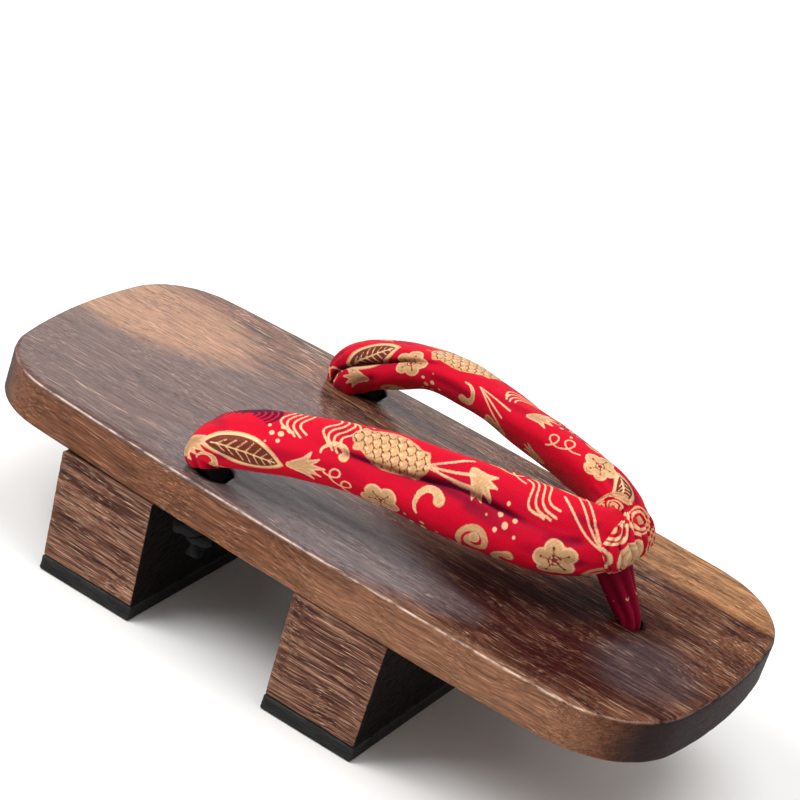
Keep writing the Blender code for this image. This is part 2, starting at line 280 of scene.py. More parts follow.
def startMaterial(name):
    finish = bpy.data.materials.new(name)
    finish.use_nodes = True
    return finish, finish.node_tree, finish.node_tree.nodes["Principled BSDF"]


def millimetres(tree):
    coordinates = put(tree, "ShaderNodeTexCoord")
    return vectorSum(tree, "MULTIPLY", coordinates.outputs["Object"], (1 / mm, 1 / mm, 1 / mm))


def layer(tree, name, output="Fac"):
    return put(tree, "ShaderNodeAttribute", attribute_name=name).outputs[output]


def dress(tree, shader, look, colour, roughness, height):
    # what every finish sets on its shader
    relief = put(tree, "ShaderNodeBump")
    relief.inputs["Distance"].default_value = look["bump"] * mm
    feed(tree, relief.inputs["Height"], height)
    feed(tree, shader.inputs["Base Color"], colour)
    feed(tree, shader.inputs["Roughness"], roughness)
    feed(tree, shader.inputs["Normal"], relief.outputs[0])
    shader.inputs["Specular IOR Level"].default_value = look["specular"]
    arrange(tree)


deckFinish = {
    "dark": (26, 10, 7), "mid": (74, 39, 28), "light": (130, 82, 56), "tones": (0.22, 0.5, 0.82),
    "dash": (216, 180, 152), "dashAmount": 0.6, "laterDash": 0.7,
    # greySheen is painted sheen of the lacquer, not the wood's own colour
    "tan": (166, 120, 90), "gold": (190, 136, 90), "foot": (50, 7, 5), "greySheen": (98, 76, 73),
    # sky is a painted grey-blue reflection of the studio in the lacquer
    "sky": (104, 97, 100),
    # the end colour is burnt end grain, darkened further as painted shade
    "side": (120, 74, 47), "sideCalm": 0.6, "end": (38, 27, 29), "endGrainAndShadeAmount": 0.95,
    # the wear colour is partly edge wear and partly a painted highlight along the deck's top rim
    "wearAndHighlight": (236, 206, 186), "wearAndHighlightAmount": 0.9, "pore": 0.65,
    "along": 22.0, "across": 0.85, "carved": 0.34, "streak": 0.54, "band": 0.26,
    "specular": 0.06, "roughness": 0.46, "coat": 0.32, "coatRoughness": 0.2, "bump": 0.2,
    "patches": (    # shade, centre, reach, amount, raggedness, and lean to light (+) or dark (-) streaks
        # the greySheen patch paints the lacquer's sheen over the heel's near half
        ("greySheen", (-60, -24, 59), (100, 54, 2), 0.9, 0.5, 0.5),
        # the sky patches paint reflections of the studio beside the near strap and the post
        ("sky", (-2, -43, 59), (58, 20, 2), 0.8, 0.5, 0.2),
        ("foot", (76, -26, 59), (50, 38, 2), 1.3, 0.35, -0.7),
        ("sky", (107, -20, 59), (18, 20, 2), 0.5, 0.4, 0.6),
        ("sky", (42, -44, 59), (18, 10, 2), 0.35, 0.5, 0.6),
        ("foot", (84, 4, 59), (20, 14, 2), 0.9, 0.6, -1.0),
        ("foot", (116, -2, 59), (30, 48, 2), 0.6, 0.8, -1.0),
        ("tan", (-116, 24, 59), (37, 21, 2), 0.95, 0.8, 1.6),
        ("gold", (100, 50, 59), (46, 12, 2), 0.6, 0.9, 2.0),
        ("tan", (66, -60, 46), (66, 6, 16), 0.42, 0.5, 0.8),
    ),
}
toothFinish = {
    "dark": (34, 16, 13), "mid": (92, 56, 44), "light": (166, 120, 96), "tones": (0.2, 0.62, 1.0),
    "dash": (214, 178, 150), "dashAmount": 0.75, "laterDash": 0.0,
    # the teeth's end faces are painted near black, as the shade between and under the teeth
    "side": (82, 48, 35), "sideCalm": 0.0, "end": (8, 4, 4), "endGrainAndShadeAmount": 0.98,
    "wearAndHighlight": (146, 108, 84), "wearAndHighlightAmount": 0.5, "pore": 0.65,
    "along": 32.0, "across": 0.66, "carved": 0.62, "streak": 0.42, "band": 0.05,
    "specular": 0.1, "roughness": 0.6, "coat": 0.03, "coatRoughness": 0.4, "bump": 0.22,
    "patches": (),
}


def makeWood(name, look):
    finish, tree, shader = startMaterial(name)
    position = millimetres(tree)
    grain = useGroup(tree, grainGroup, Position=position, Along=look["along"], Across=look["across"])
    # one tone from the carved relief and the grain, and the wood's colours along it
    tone = product(tree, scaled(tree, layer(tree, "grain"), 0.5, 0.5), look["carved"])
    tone = scaled(tree, grain["Streak"], look["streak"], tone)
    tone = scaled(tree, grain["Band"], look["band"], tone)
    ramp = put(tree, "ShaderNodeValToRGB")
    feed(tree, ramp.inputs[0], tone)
    stops = ramp.color_ramp.elements
    stops.new(0.5)
    for i, shade in enumerate(("dark", "mid", "light")):
        stops[i].position = look["tones"][i]
        stops[i].color = linear(look[shade])
    # the ends show burnt end grain, darkened further as painted shade, and the sides are calmer than the top
    facing = axes(tree, put(tree, "ShaderNodeNewGeometry").outputs["Normal"])
    endwise = sums(tree, "ABSOLUTE", facing[0])
    endGrainAndShade = ease(tree, endwise, 0.45, 0.85, 0.0, look["endGrainAndShadeAmount"])
    alongGrain = ease(tree, endwise, 0.12, 0.5, 1.0, 0.0)
    calm = ease(tree, sums(tree, "ABSOLUTE", facing[2]), 0.75, 0.35, 0.0, look["sideCalm"])
    lively = sums(tree, "SUBTRACT", 1.0, calm)
    colour = blend(tree, product(tree, calm, 0.8), ramp.outputs[0], linear(look["side"]))
    dashes = product(tree, grain["Dash"], alongGrain, lively, look["dashAmount"])
    colour = blend(tree, dashes, colour, linear(look["dash"]))
    lacquer = product(tree, lively, look["coat"])
    # the greySheen and sky patches paint sheen and reflections of the lacquer into the colour
    for shade, centre, reach, amount, ragged, lean in look["patches"]:
        mask = useGroup(tree, patchGroup, Position=position, Centre=centre, Reach=reach,
                        Ragged=ragged)["Mask"]
        streaked = product(tree, mask, amount, scaled(tree, tone, lean, 0.8 - lean / 2))
        colour = blend(tree, streaked, colour, linear(look[shade]))
        if shade == "foot":                     # feet have worn the lacquer away
            lacquer = product(tree, lacquer, scaled(tree, mask, -0.85, 1.0))
    clustered = product(tree, dashes, grain["Band"], look["laterDash"])
    colour = blend(tree, clustered, colour, linear(look["dash"]))
    colour = shadeBy(tree, colour, scaled(tree, grain["Fibre"], 0.8, 0.6))
    colour = blend(tree, product(tree, grain["Pore"], lively, look["pore"]), colour, linear(look["dark"]))
    colour = blend(tree, endGrainAndShade, colour, linear(look["end"]))
    lacquer = product(tree, lacquer, scaled(tree, endGrainAndShade, -0.85, 1.0))
    # the rim layer is above zero on the edges, where wear and a painted highlight are laid, and below it in
    # the holes, which are painted dark as shade
    rim = layer(tree, "rim")
    wearAndHighlight = useGroup(tree, wearAndHighlightGroup, Rim=sums(tree, "MAXIMUM", rim, 0.0), Position=position,
                    Amount=look["wearAndHighlightAmount"])["Mask"]
    # the painted highlight is kept weak on the ends
    wearAndHighlight = product(tree, wearAndHighlight, scaled(tree, alongGrain, 0.8, 0.2))
    colour = blend(tree, wearAndHighlight, colour, linear(look["wearAndHighlight"]))
    # painted shade: the hole walls are darkened as the shade inside the holes
    holeShade = sums(tree, "MAXIMUM", product(tree, rim, -1.0), 0.0)
    colour = blend(tree, holeShade, colour, linear(look["dark"]))
    feed(tree, shader.inputs["Coat Weight"], lacquer)
    shader.inputs["Coat Roughness"].default_value = look["coatRoughness"]
    height = scaled(tree, grain["Fibre"], 0.5, scaled(tree, grain["Pore"], -0.6, grain["Streak"]))
    dress(tree, shader, look, colour, scaled(tree, grain["Fibre"], 0.16, look["roughness"]), height)
    return finish


clothFinish = {
    "red": (196, 0, 35), "postRed": (150, 0, 38), "shade": (98, 0, 34), "foldShade": 0.6,
    "gold": (166, 122, 64), "cream": (228, 182, 140), "brown": (112, 66, 28), "plum": (70, 0, 40),
    "pitch": 0.62, "inkEdge": 0.16,             # the thread's pitch and how soft the print's edge is
    "foilGloss": 0.22, "sheen": 0.03, "sheenRoughness": 0.5,
    "specular": 0.08, "roughness": 0.68, "bump": 0.05,
}


def makePrintedCloth(name, look, ground):
    finish, tree, shader = startMaterial(name)
    cloth = layer(tree, "clothMap", "Vector")
    weave = useGroup(tree, weaveGroup, Map=cloth, Pitch=look["pitch"])
    ragged = scaled(tree, noiseNode(tree, cloth, 1.1, 3.0, 0.6), 0.5, -0.25)
    paintedShade = layer(tree, "paintedShade")
    # painted shade: the ground is darkened in the creases and folds
    colour = blend(tree, paintedShade, linear(look[ground]), linear(look["shade"]))
    masks = {}
    for ink, speckle in (("plum", None), ("gold", "cream"), ("cream", None), ("brown", "shade")):
        distance = sums(tree, "ADD", layer(tree, ink + "Edge"), ragged)
        masks[ink] = ease(tree, distance, look["inkEdge"], -look["inkEdge"])
        shade = linear(look[ink])
        if speckle:
            shade = blend(tree, noiseNode(tree, cloth, 0.9, 3.0, 0.7), shade, linear(look[speckle]))
        colour = blend(tree, masks[ink], colour, shade)
    # painted shade: the creases darken the print too
    colour = blend(tree, product(tree, paintedShade, look["foldShade"]), colour, linear(look["shade"]))
    colour = shadeBy(tree, colour, scaled(tree, weave["Thread"], 0.28, 0.84))
    feed(tree, shader.inputs["Metallic"], product(tree, masks["gold"], look["foilGloss"]))
    shader.inputs["Sheen Weight"].default_value = look["sheen"]
    shader.inputs["Sheen Roughness"].default_value = look["sheenRoughness"]
    dress(tree, shader, look, colour, scaled(tree, masks["gold"], -look["foilGloss"], look["roughness"]),
          scaled(tree, weave["Thread"], 0.8, weave["Height"]))
    return finish


rubberFinish = {
    "dark": (15, 15, 16), "light": (42, 41, 41), "speck": (66, 62, 60),
    "wearAndHighlight": (80, 76, 72), "wearAndHighlightAmount": 0.5, "along": 9.0, "across": 0.7, "shift": 40.0,
    "specular": 0.2, "roughness": 0.62, "bump": 0.12,
}


def makeRubber(name, look):
    finish, tree, shader = startMaterial(name)
    position = millimetres(tree)
    grain = useGroup(tree, grainGroup, Position=position, Along=look["along"], Across=look["across"],
                     Shift=look["shift"])
    specks = noiseNode(tree, position, 1.4, 4.0, 0.7)
    colour = blend(tree, grain["Streak"], linear(look["dark"]), linear(look["light"]))
    colour = blend(tree, ease(tree, specks, 0.6, 0.75), colour, linear(look["speck"]))
    wearAndHighlight = useGroup(tree, wearAndHighlightGroup, Rim=layer(tree, "rim"), Position=position,
                    Amount=look["wearAndHighlightAmount"])["Mask"]
    colour = blend(tree, wearAndHighlight, colour, linear(look["wearAndHighlight"]))
    dress(tree, shader, look, colour, scaled(tree, specks, 0.25, look["roughness"]),
          sums(tree, "ADD", specks, grain["Streak"]))
    return finish


cordFinish = {
    "dark": (5, 5, 6), "light": (26, 24, 25), "thread": (34, 32, 32), "threadAmount": 0.3, "pitch": 0.9,
    "specular": 0.15, "roughness": 0.7, "bump": 0.18,
}


def makeCord(name, look):
    finish, tree, shader = startMaterial(name)
    weave = useGroup(tree, weaveGroup, Map=layer(tree, "clothMap", "Vector"), Pitch=look["pitch"])
    fluff = noiseNode(tree, millimetres(tree), 2.2, 4.0, 0.75)
    colour = blend(tree, fluff, linear(look["dark"]), linear(look["light"]))
    colour = blend(tree, product(tree, weave["Height"], look["threadAmount"]), colour, linear(look["thread"]))
    dress(tree, shader, look, colour, scaled(tree, fluff, 0.2, look["roughness"]),
          sums(tree, "ADD", weave["Height"], fluff))
    return finish


# mesh helpers
def softNoise(points, seed):
    # smooth values from -1 to 1, one cell for each unit
    base = np.floor(points).astype(np.int64)
    share = points - base
    share = share * share * (3 - 2 * share)
    total = np.zeros(len(points))
    for corner in np.ndindex(2, 2, 2):
        cell = base + corner
        mixed = cell[:, 0] * 73856093 ^ cell[:, 1] * 19349663 ^ cell[:, 2] * 83492791 ^ seed * 2971215073
        mixed = (mixed ^ (mixed >> 13)) * 1274126177
        value = ((mixed >> 9) & 0xffff) / 32767.5 - 1
        weight = np.prod(np.where(corner, share, 1 - share), axis=1)
        total += value * weight
    return total


def tubeFaces(rows, columns, start=0):
    i, k = np.meshgrid(np.arange(rows - 1), np.arange(columns), indexing="ij")
    j = (k + 1) % columns
    here, ahead = start + i * columns, start + (i + 1) * columns
    return np.stack([here + k, here + j, ahead + j, ahead + k], axis=-1).reshape(-1, 4).tolist()


def closedTube(rings):
    # points and faces of a tube whose ends are filled
    sides = rings.shape[1]
    final = (len(rings) - 1) * sides
    faces = tubeFaces(len(rings), sides)
    faces += [list(range(sides))[::-1], list(range(final, final + sides))]
    return rings.reshape(-1, 3), faces


def unit(vectors):
    return vectors / np.linalg.norm(vectors, axis=-1, keepdims=True)


def signedAngle(angles):
    # degrees from -180 to 180
    return (angles + 180) % 360 - 180


def addPiece(name, points, faces, finish, nodes, layers):
    mesh = bpy.data.meshes.new(name)
    mesh.from_pydata((np.asarray(points) * mm).tolist(), [], faces)
    for label, values in layers.items():
        values = np.asarray(values, np.float32)
        kind, key = ("FLOAT_VECTOR", "vector") if values.ndim == 2 else ("FLOAT", "value")
        mesh.attributes.new(label, kind, "POINT").data.foreach_set(key, values.ravel())
    bm = bmesh.new()
    bm.from_mesh(mesh)
    bmesh.ops.recalc_face_normals(bm, faces=bm.faces)
    if bm.calc_volume(signed=True) < 0:
        bmesh.ops.reverse_faces(bm, faces=bm.faces)
    bm.to_mesh(mesh)
    bm.free()
    mesh.materials.append(finish)
    mesh.shade_smooth()
    piece = bpy.data.objects.new(name, mesh)
    bpy.context.scene.collection.objects.link(piece)
    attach(piece, "root")
    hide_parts(*nodes)
    print("geta:", name, len(mesh.polygons), "faces")
    return piece


def woodRelief(points, along, across, seed):
    # raised late wood with narrow brushed-out valleys, from -1 to 1
    bend = softNoise(points / (80, 45, 45), seed)[:, None] * (0, 3.0, 1.0)
    at = points + bend
    broad = softNoise(at / (along * 2.4, across * 2.6, across * 2.6), seed + 1)
    fine = softNoise(at / (along, across, across), seed + 2)
    ridged = 0.5 * broad + 0.6 * fine
    return np.clip(1 - 2.1 * np.abs(ridged - 0.12) ** 0.9, -1, 1)


def carve(piece, relief, depth):
    # moves each vertex in along its normal and keeps the relief for the material
    mesh = piece.data
    count = len(mesh.vertices)
    spots = np.zeros(count * 3)
    normals = np.zeros(count * 3)
    mesh.vertices.foreach_get("co", spots)
    mesh.vertices.foreach_get("normal", normals)
    sunk = (relief - 1) * 0.5 * depth * mm
    spots = spots.reshape(-1, 3) + normals.reshape(-1, 3) * sunk[:, None]
    mesh.vertices.foreach_set("co", spots.ravel())
    mesh.attributes.new("grain", "FLOAT", "POINT").data.foreach_set("value", relief.astype(np.float32))
    mesh.update()


# deck
deck = {
    "widestAt": 40.0,
    "sideArc": 1890.0, "toeArc": 203.0, "toeCorner": 33.5, "heelArc": 205.0, "heelCorner": 27.8,
    "topRounding": 1.4, "underRounding": 1.0,
    "endSteps": 15, "cornerSteps": 22, "sideSteps": 100,
    "roundSteps": 6, "wallRows": 22, "rimSharpness": 10,
    "cell": (2.4, 0.8), "underCell": (7.0, 3.0), "cellMargin": 0.9, "holeMargin": 0.7,
    "along": 17.0, "across": 1.0, "depth": 0.24, "wallDepth": 0.2, "seed": 11,
    "trodden": (20.0, 85.0, 46.0),              # deepest relief: centre along, reach along, reach across
    "holes": ((91.0, 0.0, 3.9), (-38.5, 47.5, 5.5), (-38.5, -47.5, 5.5)),   # x, y, radius
    "holeRim": 0.7, "holeSides": 40,
}


def cornerCentre(endX, endRadius, sideRadius, halfWidth, cornerRadius):
    # centre of the corner arc that touches the end arc and the side arc from inside
    endCentre = np.array((endX - math.copysign(endRadius, endX), 0.0))
    line = np.array((deck["widestAt"], halfWidth - sideRadius)) - endCentre
    span = np.linalg.norm(line)
    fromEnd = endRadius - cornerRadius
    fromSide = sideRadius - cornerRadius
    along = (fromEnd ** 2 - fromSide ** 2 + span ** 2) / (2 * span)
    off = math.sqrt(fromEnd ** 2 - along ** 2)
    foot = endCentre + line * along / span
    normal = np.array((-line[1], line[0])) / span
    return max(foot + normal * off, foot - normal * off, key=lambda spot: spot[1])


def arcPoints(centre, radius, first, last, steps):
    turn = first + (last - first) * np.arange(steps) / steps
    return np.stack([centre[0] + radius * np.cos(turn), centre[1] + radius * np.sin(turn)], axis=1)


def direction(start, end):
    return math.atan2(end[1] - start[1], end[0] - start[0])


def deckOutline(halfLength, halfWidth, inset):
    # five arcs that touch, from the toe round the left side to the heel, and the same on the right
    endX = halfLength - inset
    half = halfWidth - inset
    side, toeEnd, heelEnd = (deck[k] - inset for k in ("sideArc", "toeArc", "heelArc"))
    toeCorner, heelCorner = (deck[k] - inset for k in ("toeCorner", "heelCorner"))
    toeCentre, heelCentre = (endX - toeEnd, 0.0), (heelEnd - endX, 0.0)
    sideCentre = (deck["widestAt"], half - side)
    toeMid = cornerCentre(endX, toeEnd, side, half, toeCorner)
    heelMid = cornerCentre(-endX, heelEnd, side, half, heelCorner)
    turns = (0.0, direction(toeCentre, toeMid), direction(sideCentre, toeMid),
             direction(sideCentre, heelMid), direction(heelCentre, heelMid), math.pi)
    parts = ((toeCentre, toeEnd, "endSteps"), (toeMid, toeCorner, "cornerSteps"),
             (sideCentre, side, "sideSteps"), (heelMid, heelCorner, "cornerSteps"),
             (heelCentre, heelEnd, "endSteps"))
    upper = np.vstack([arcPoints(centre, radius, turns[i], turns[i + 1], deck[steps])
                       for i, (centre, radius, steps) in enumerate(parts)])
    lower = upper[1:][::-1] * (1, -1)
    return np.vstack([upper, [(-endX, 0.0)], lower])


def insideOutline(spots, outline):
    # which spots a closed outline surrounds, counted by the sides that each one's row crosses
    inside = np.zeros(len(spots), bool)
    for (x1, y1), (x2, y2) in zip(outline, np.roll(outline, -1, axis=0)):
        crosses = (y1 > spots[:, 1]) != (y2 > spots[:, 1])
        slope = (x2 - x1) / (y2 - y1) if y1 != y2 else 0.0
        inside ^= crosses & (spots[:, 0] < x1 + slope * (spots[:, 1] - y1))
    return inside


def deckRings(low, high):
    # outlines from the underside up the wall and over the top edge, and how much wear and painted highlight
    # each one carries
    turns = np.linspace(0, math.pi / 2, deck["roundSteps"] + 1)
    under, top = deck["underRounding"], deck["topRounding"]
    wall = np.linspace(low[2] + under, high[2] - top, deck["wallRows"] + 1)[1:-1]
    levels = [(under * (1 - math.sin(turn)), low[2] + under * (1 - math.cos(turn))) for turn in turns]
    levels += [(0.0, z) for z in wall]
    # wear and painted highlight peak in the middle of the top rounding
    rimWearAndHighlight = [0.0] * len(levels) + [math.sin(2 * turn) ** deck["rimSharpness"] for turn in turns]
    levels += [(top * (1 - math.cos(turn)), high[2] - top * (1 - math.sin(turn))) for turn in turns]
    rings = []
    for inset, z in levels:                     # each has its own distance in from the outline
        outline = deckOutline(high[0], high[1], inset)
        rings.append(np.column_stack([outline, np.full(len(outline), z)]))
    return rings, rimWearAndHighlight


def fillDeckFace(points, rim, faces, loops, z, cell, high):
    # even triangles between the outline and the holes, added to points, rim and faces
    border = np.concatenate(loops)
    edges = []
    for loop in loops:
        start = len(edges)
        edges += [(start + k, start + (k + 1) % len(loop)) for k in range(len(loop))]
    grid = np.meshgrid(np.arange(-high[0], high[0], cell[0]), np.arange(-high[1], high[1], cell[1]))
    inner = np.stack(grid, axis=-1).reshape(-1, 2)
    inner[:, 0] += (np.round(inner[:, 1] / cell[1]) % 2) * cell[0] / 2
    limit = deckOutline(high[0], high[1], deck["topRounding"] + deck["cellMargin"])
    inner = inner[insideOutline(inner, limit)]
    for x, y, radius in deck["holes"]:
        away = np.hypot(inner[:, 0] - x, inner[:, 1] - y)
        inner = inner[away > radius + deck["holeRim"] + deck["holeMargin"]]
    spots = [Vector(spot) for spot in np.vstack([np.array(points)[border, :2], inner])]
    found, _, triangles, origins = delaunay_2d_cdt(spots, edges, [], 1, 1e-5)[:4]
    numbers = {}
    for i, spot in enumerate(found):
        source = origins[i][0]
        if source < len(border):
            numbers[i] = int(border[source])
        else:
            numbers[i] = len(points)
            points.append((spot.x, spot.y, z))
            rim.append(0.0)
    for triangle in triangles:
        middle = sum((found[i] for i in triangle), Vector((0, 0))) / len(triangle)
        if all(math.hypot(middle.x - x, middle.y - y) > radius for x, y, radius in deck["holes"]):
            faces.append([numbers[i] for i in triangle])


def buildDeck(finish):
    low, high = (np.array(corner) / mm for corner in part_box("deck"))
    rings, rimWearAndHighlight = deckRings(low, high)
    around, sides, opened = len(rings[0]), deck["holeSides"], deck["holeRim"]
    points = list(np.vstack(rings))
    rim = list(np.repeat(rimWearAndHighlight, around))
    faces = tubeFaces(len(rings), around)
    loops = {low[2]: [range(around)], high[2]: [range(len(points) - around, len(points))]}
    turn = 2 * np.pi * np.arange(sides) / sides
    profile = ((opened, low[2]), (0.2 * opened, low[2] + 0.5 * opened), (0.0, low[2] + opened * 1.3),
               (0.0, high[2] - opened * 1.3), (0.2 * opened, high[2] - 0.5 * opened), (opened, high[2]))
    for x, y, radius in deck["holes"]:          # rings from the underside to the top, opened at both rims
        start = len(points)
        for extra, z in profile:
            spots = (radius + extra) * np.column_stack([np.cos(turn), np.sin(turn)]) + (x, y)
            points += list(np.column_stack([spots, np.full(sides, z)]))
        # the holes get a rim below zero, which paints their walls dark as shade
        rim += [-1.0] * (len(profile) * sides)
        faces += tubeFaces(len(profile), sides, start)
        loops[low[2]].append(range(start, start + sides))
        loops[high[2]].append(range(len(points) - sides, len(points)))
    for z, cell in ((low[2], deck["underCell"]), (high[2], deck["cell"])):
        fillDeckFace(points, rim, faces, loops[z], z, cell, high)
    points = np.array(points)
    piece = addPiece("deckBoard", points, faces, finish, ["deck"], {"rim": rim})
    relief = woodRelief(points, deck["along"], deck["across"], deck["seed"])
    centre, reachAlong, reachAcross = deck["trodden"]
    trodden = np.exp(-((points[:, 0] - centre) / reachAlong) ** 2 - (points[:, 1] / reachAcross) ** 2)
    onTop = points[:, 2] > high[2] - 0.01
    depth = np.where(onTop, deck["depth"] * (0.35 + 0.65 * trodden), deck["wallDepth"])
    carve(piece, relief, depth * (1 - 0.6 * np.abs(rim)))


# teeth and treads
teeth = {
    "rounding": 0.6, "cell": (1.8, 1.6, 0.42), "along": 30.0, "across": 0.6, "depth": 0.5,
    "seeds": {"rear": 29, "front": 47}, "edgeWidth": 0.7,
    "rear": (-87.5, -51.1, -83.9, -48.2),       # back and front at the top, back and front at the foot
    "front": (5.1, 40.7, 6.6, 40.8),
}
treads = {
    "rounding": 0.9, "cell": (1.0, 1.6, 0.7), "along": 6.0, "across": 0.8, "seed": 71,
    "flankDepth": 0.18, "flankFrom": 1.2,       # rough flanks, down to this height over the floor
    "grooveDepth": 0.9, "groovePitch": 4.6, "waveHeight": 1.3, "waveLength": 9.0, "margin": 2.5,
}


def divisions(length, cell, rounding):
    middle = np.linspace(rounding, length - rounding, max(2, round((length - 2 * rounding) / cell)) + 1)
    edge = [0.0, 0.35 * rounding]
    return np.concatenate([edge, middle, [length - e for e in edge[::-1]]])


def roundedShell(size, cell, rounding):
    # points and faces of a box's skin with rounded edges, from (0, 0, 0) to size
    lines = [divisions(length, step, rounding) for length, step in zip(size, cell)]
    counts = [len(line) for line in lines]
    numbers = {}
    for i, j, k in np.ndindex(*counts):
        if i in (0, counts[0] - 1) or j in (0, counts[1] - 1) or k in (0, counts[2] - 1):
            numbers[i, j, k] = len(numbers)
    points = np.array([(lines[0][i], lines[1][j], lines[2][k]) for i, j, k in numbers])
    kept = np.clip(points, rounding, np.array(size) - rounding)
    out = points - kept
    points = kept + out * rounding / np.linalg.norm(out, axis=1)[:, None]
    faces = []
    for axis in range(3):
        first, second = [a for a in range(3) if a != axis]
        for end in (0, counts[axis] - 1):
            for a, b in np.ndindex(counts[first] - 1, counts[second] - 1):
                quad = []
                for da, db in ((0, 0), (1, 0), (1, 1), (0, 1)):
                    key = [0, 0, 0]
                    key[axis], key[first], key[second] = end, a + da, b + db
                    quad.append(numbers[tuple(key)])
                faces.append(quad)
    return points, faces


def taperedBlock(node, ends, rounding, cell):
    # a rounded block in the node's box, whose back and front lean from its foot to its top
    low, high = (np.array(corner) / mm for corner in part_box(node))
    size = high - low
    points, faces = roundedShell(size, cell, rounding)
    share = points / size
    topBack, topFront, footBack, footFront = ends
    back = footBack + (topBack - footBack) * share[:, 2]
    front = footFront + (topFront - footFront) * share[:, 2]
    edge = np.sort(np.minimum(points, size - points), axis=1)[:, 1]
    placed = low + points
    placed[:, 0] = back + (front - back) * share[:, 0]
    return placed, faces, np.exp(-(edge / teeth["edgeWidth"]) ** 2)


def buildTeeth(finish):
    for name in ("rear", "front"):
        points, faces, rim = taperedBlock(name + "_tooth", teeth[name], teeth["rounding"], teeth["cell"])
        node = [name + "_tooth"]
        piece = addPiece(name + "Tooth", points, faces, finish, node, {"rim": rim})
        relief = woodRelief(points, teeth["along"], teeth["across"], teeth["seeds"][name])
        carve(piece, relief, teeth["depth"] * (1 - 0.7 * rim))


def buildTreads(finish):
    for name in ("rear", "front"):
        low, high = (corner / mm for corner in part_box(name + "_tread"))
        ends = (low.x, high.x, low.x, high.x)
        points, faces, rim = taperedBlock(name + "_tread", ends, treads["rounding"], treads["cell"])
        x, y, z = points.T
        wave = x + treads["waveHeight"] * np.sin(y * 2 * np.pi / treads["waveLength"])
        groove = np.clip(np.cos(wave * 2 * np.pi / treads["groovePitch"]) - 0.1, 0, 1) ** 0.6
        margin = treads["margin"]
        inside = (x > low.x + margin) & (x < high.x - margin) & (np.abs(y) < high.y - margin) & (z < 0.05)
        points[:, 2] += np.where(inside, groove * treads["grooveDepth"], 0.0)
        node = [name + "_tread"]
        piece = addPiece(name + "Tread", points, faces, finish, node, {"rim": rim})
        relief = woodRelief(points, treads["along"], treads["across"], treads["seed"])
        carve(piece, relief, np.where(points[:, 2] < treads["flankFrom"], 0.0, treads["flankDepth"]))


# strap: rows from its right rear end, round the fold at the toe, to its left rear end
strapRows = (   # x, y, z, heading, roll, width, height, crease angle, crease depth
    (-41.6, -47.8, 60.9, 6, 0, 16.0, 11.6, 90, 0.0),
    (-43.0, -47.3, 64.8, 6, 0, 19.8, 14.0, 90, 0.2),
    (-41.2, -46.8, 68.4, 6, 2, 22.0, 15.2, 90, 0.3),
    (-37.4, -46.0, 71.3, 7, 5, 23.0, 16.2, 92, 0.3),
    (-32.2, -44.8, 73.6, 8, 10, 22.8, 16.0, 95, 0.3),
    (-25.0, -42.7, 76.0, 11, 15, 22.8, 15.6, 98, 0.3),
    (-13.0, -39.7, 79.2, 14, 20, 23.0, 15.0, 105, 0.6),
    (1.0, -35.7, 81.8, 16, 25, 23.4, 14.9, 111, 1.6),
    (16.0, -31.2, 82.8, 17, 31, 24.8, 15.3, 108, 2.2),
    (31.0, -26.6, 82.2, 18, 38, 27.0, 16.0, 88, 2.6),
    (45.0, -21.8, 82.0, 19, 44, 27.0, 16.4, 92, 2.7),
    (57.5, -17.6, 82.2, 22, 48, 26.5, 17.0, 100, 2.4),
    (67.0, -13.6, 82.8, 32, 50, 25.0, 17.2, 102, 1.7),
    (73.8, -8.2, 83.8, 52, 50, 21.5, 16.0, 100, 0.7),
    (76.4, 0.0, 84.6, 90, 48, 17.5, 13.0, 90, 0.0),
    (74.2, 8.2, 85.6, 128, 50, 21.5, 15.0, 70, 0.3),
    (67.0, 13.8, 87.0, 148, 50, 24.0, 14.8, 66, 0.6),
    (57.0, 18.4, 87.3, 157, 46, 25.0, 14.5, 60, 0.8),
    (43.0, 24.4, 86.5, 159, 42, 25.5, 14.2, 54, 0.6),
    (27.0, 30.6, 85.0, 161, 36, 25.0, 14.0, 46, 0.5),
    (10.0, 36.2, 84.6, 164, 29, 24.5, 14.0, 36, 0.6),
    (-6.0, 40.2, 83.2, 168, 22, 24.0, 14.2, 24, 1.2),
    (-19.0, 42.6, 80.0, 171, 16, 23.5, 14.6, 16, 2.2),
    (-30.0, 43.8, 74.9, 174, 10, 23.2, 16.2, 12, 2.8),
    (-37.6, 44.3, 71.0, 174, 5, 23.0, 16.8, 12, 2.8),
    (-42.8, 44.9, 67.0, 174, 2, 22.0, 17.0, 14, 2.4),
    (-45.4, 45.4, 63.4, 174, 0, 20.4, 16.2, 18, 1.8),
    (-46.2, 46.0, 59.8, 174, 0, 18.0, 15.2, 20, 1.0),
)
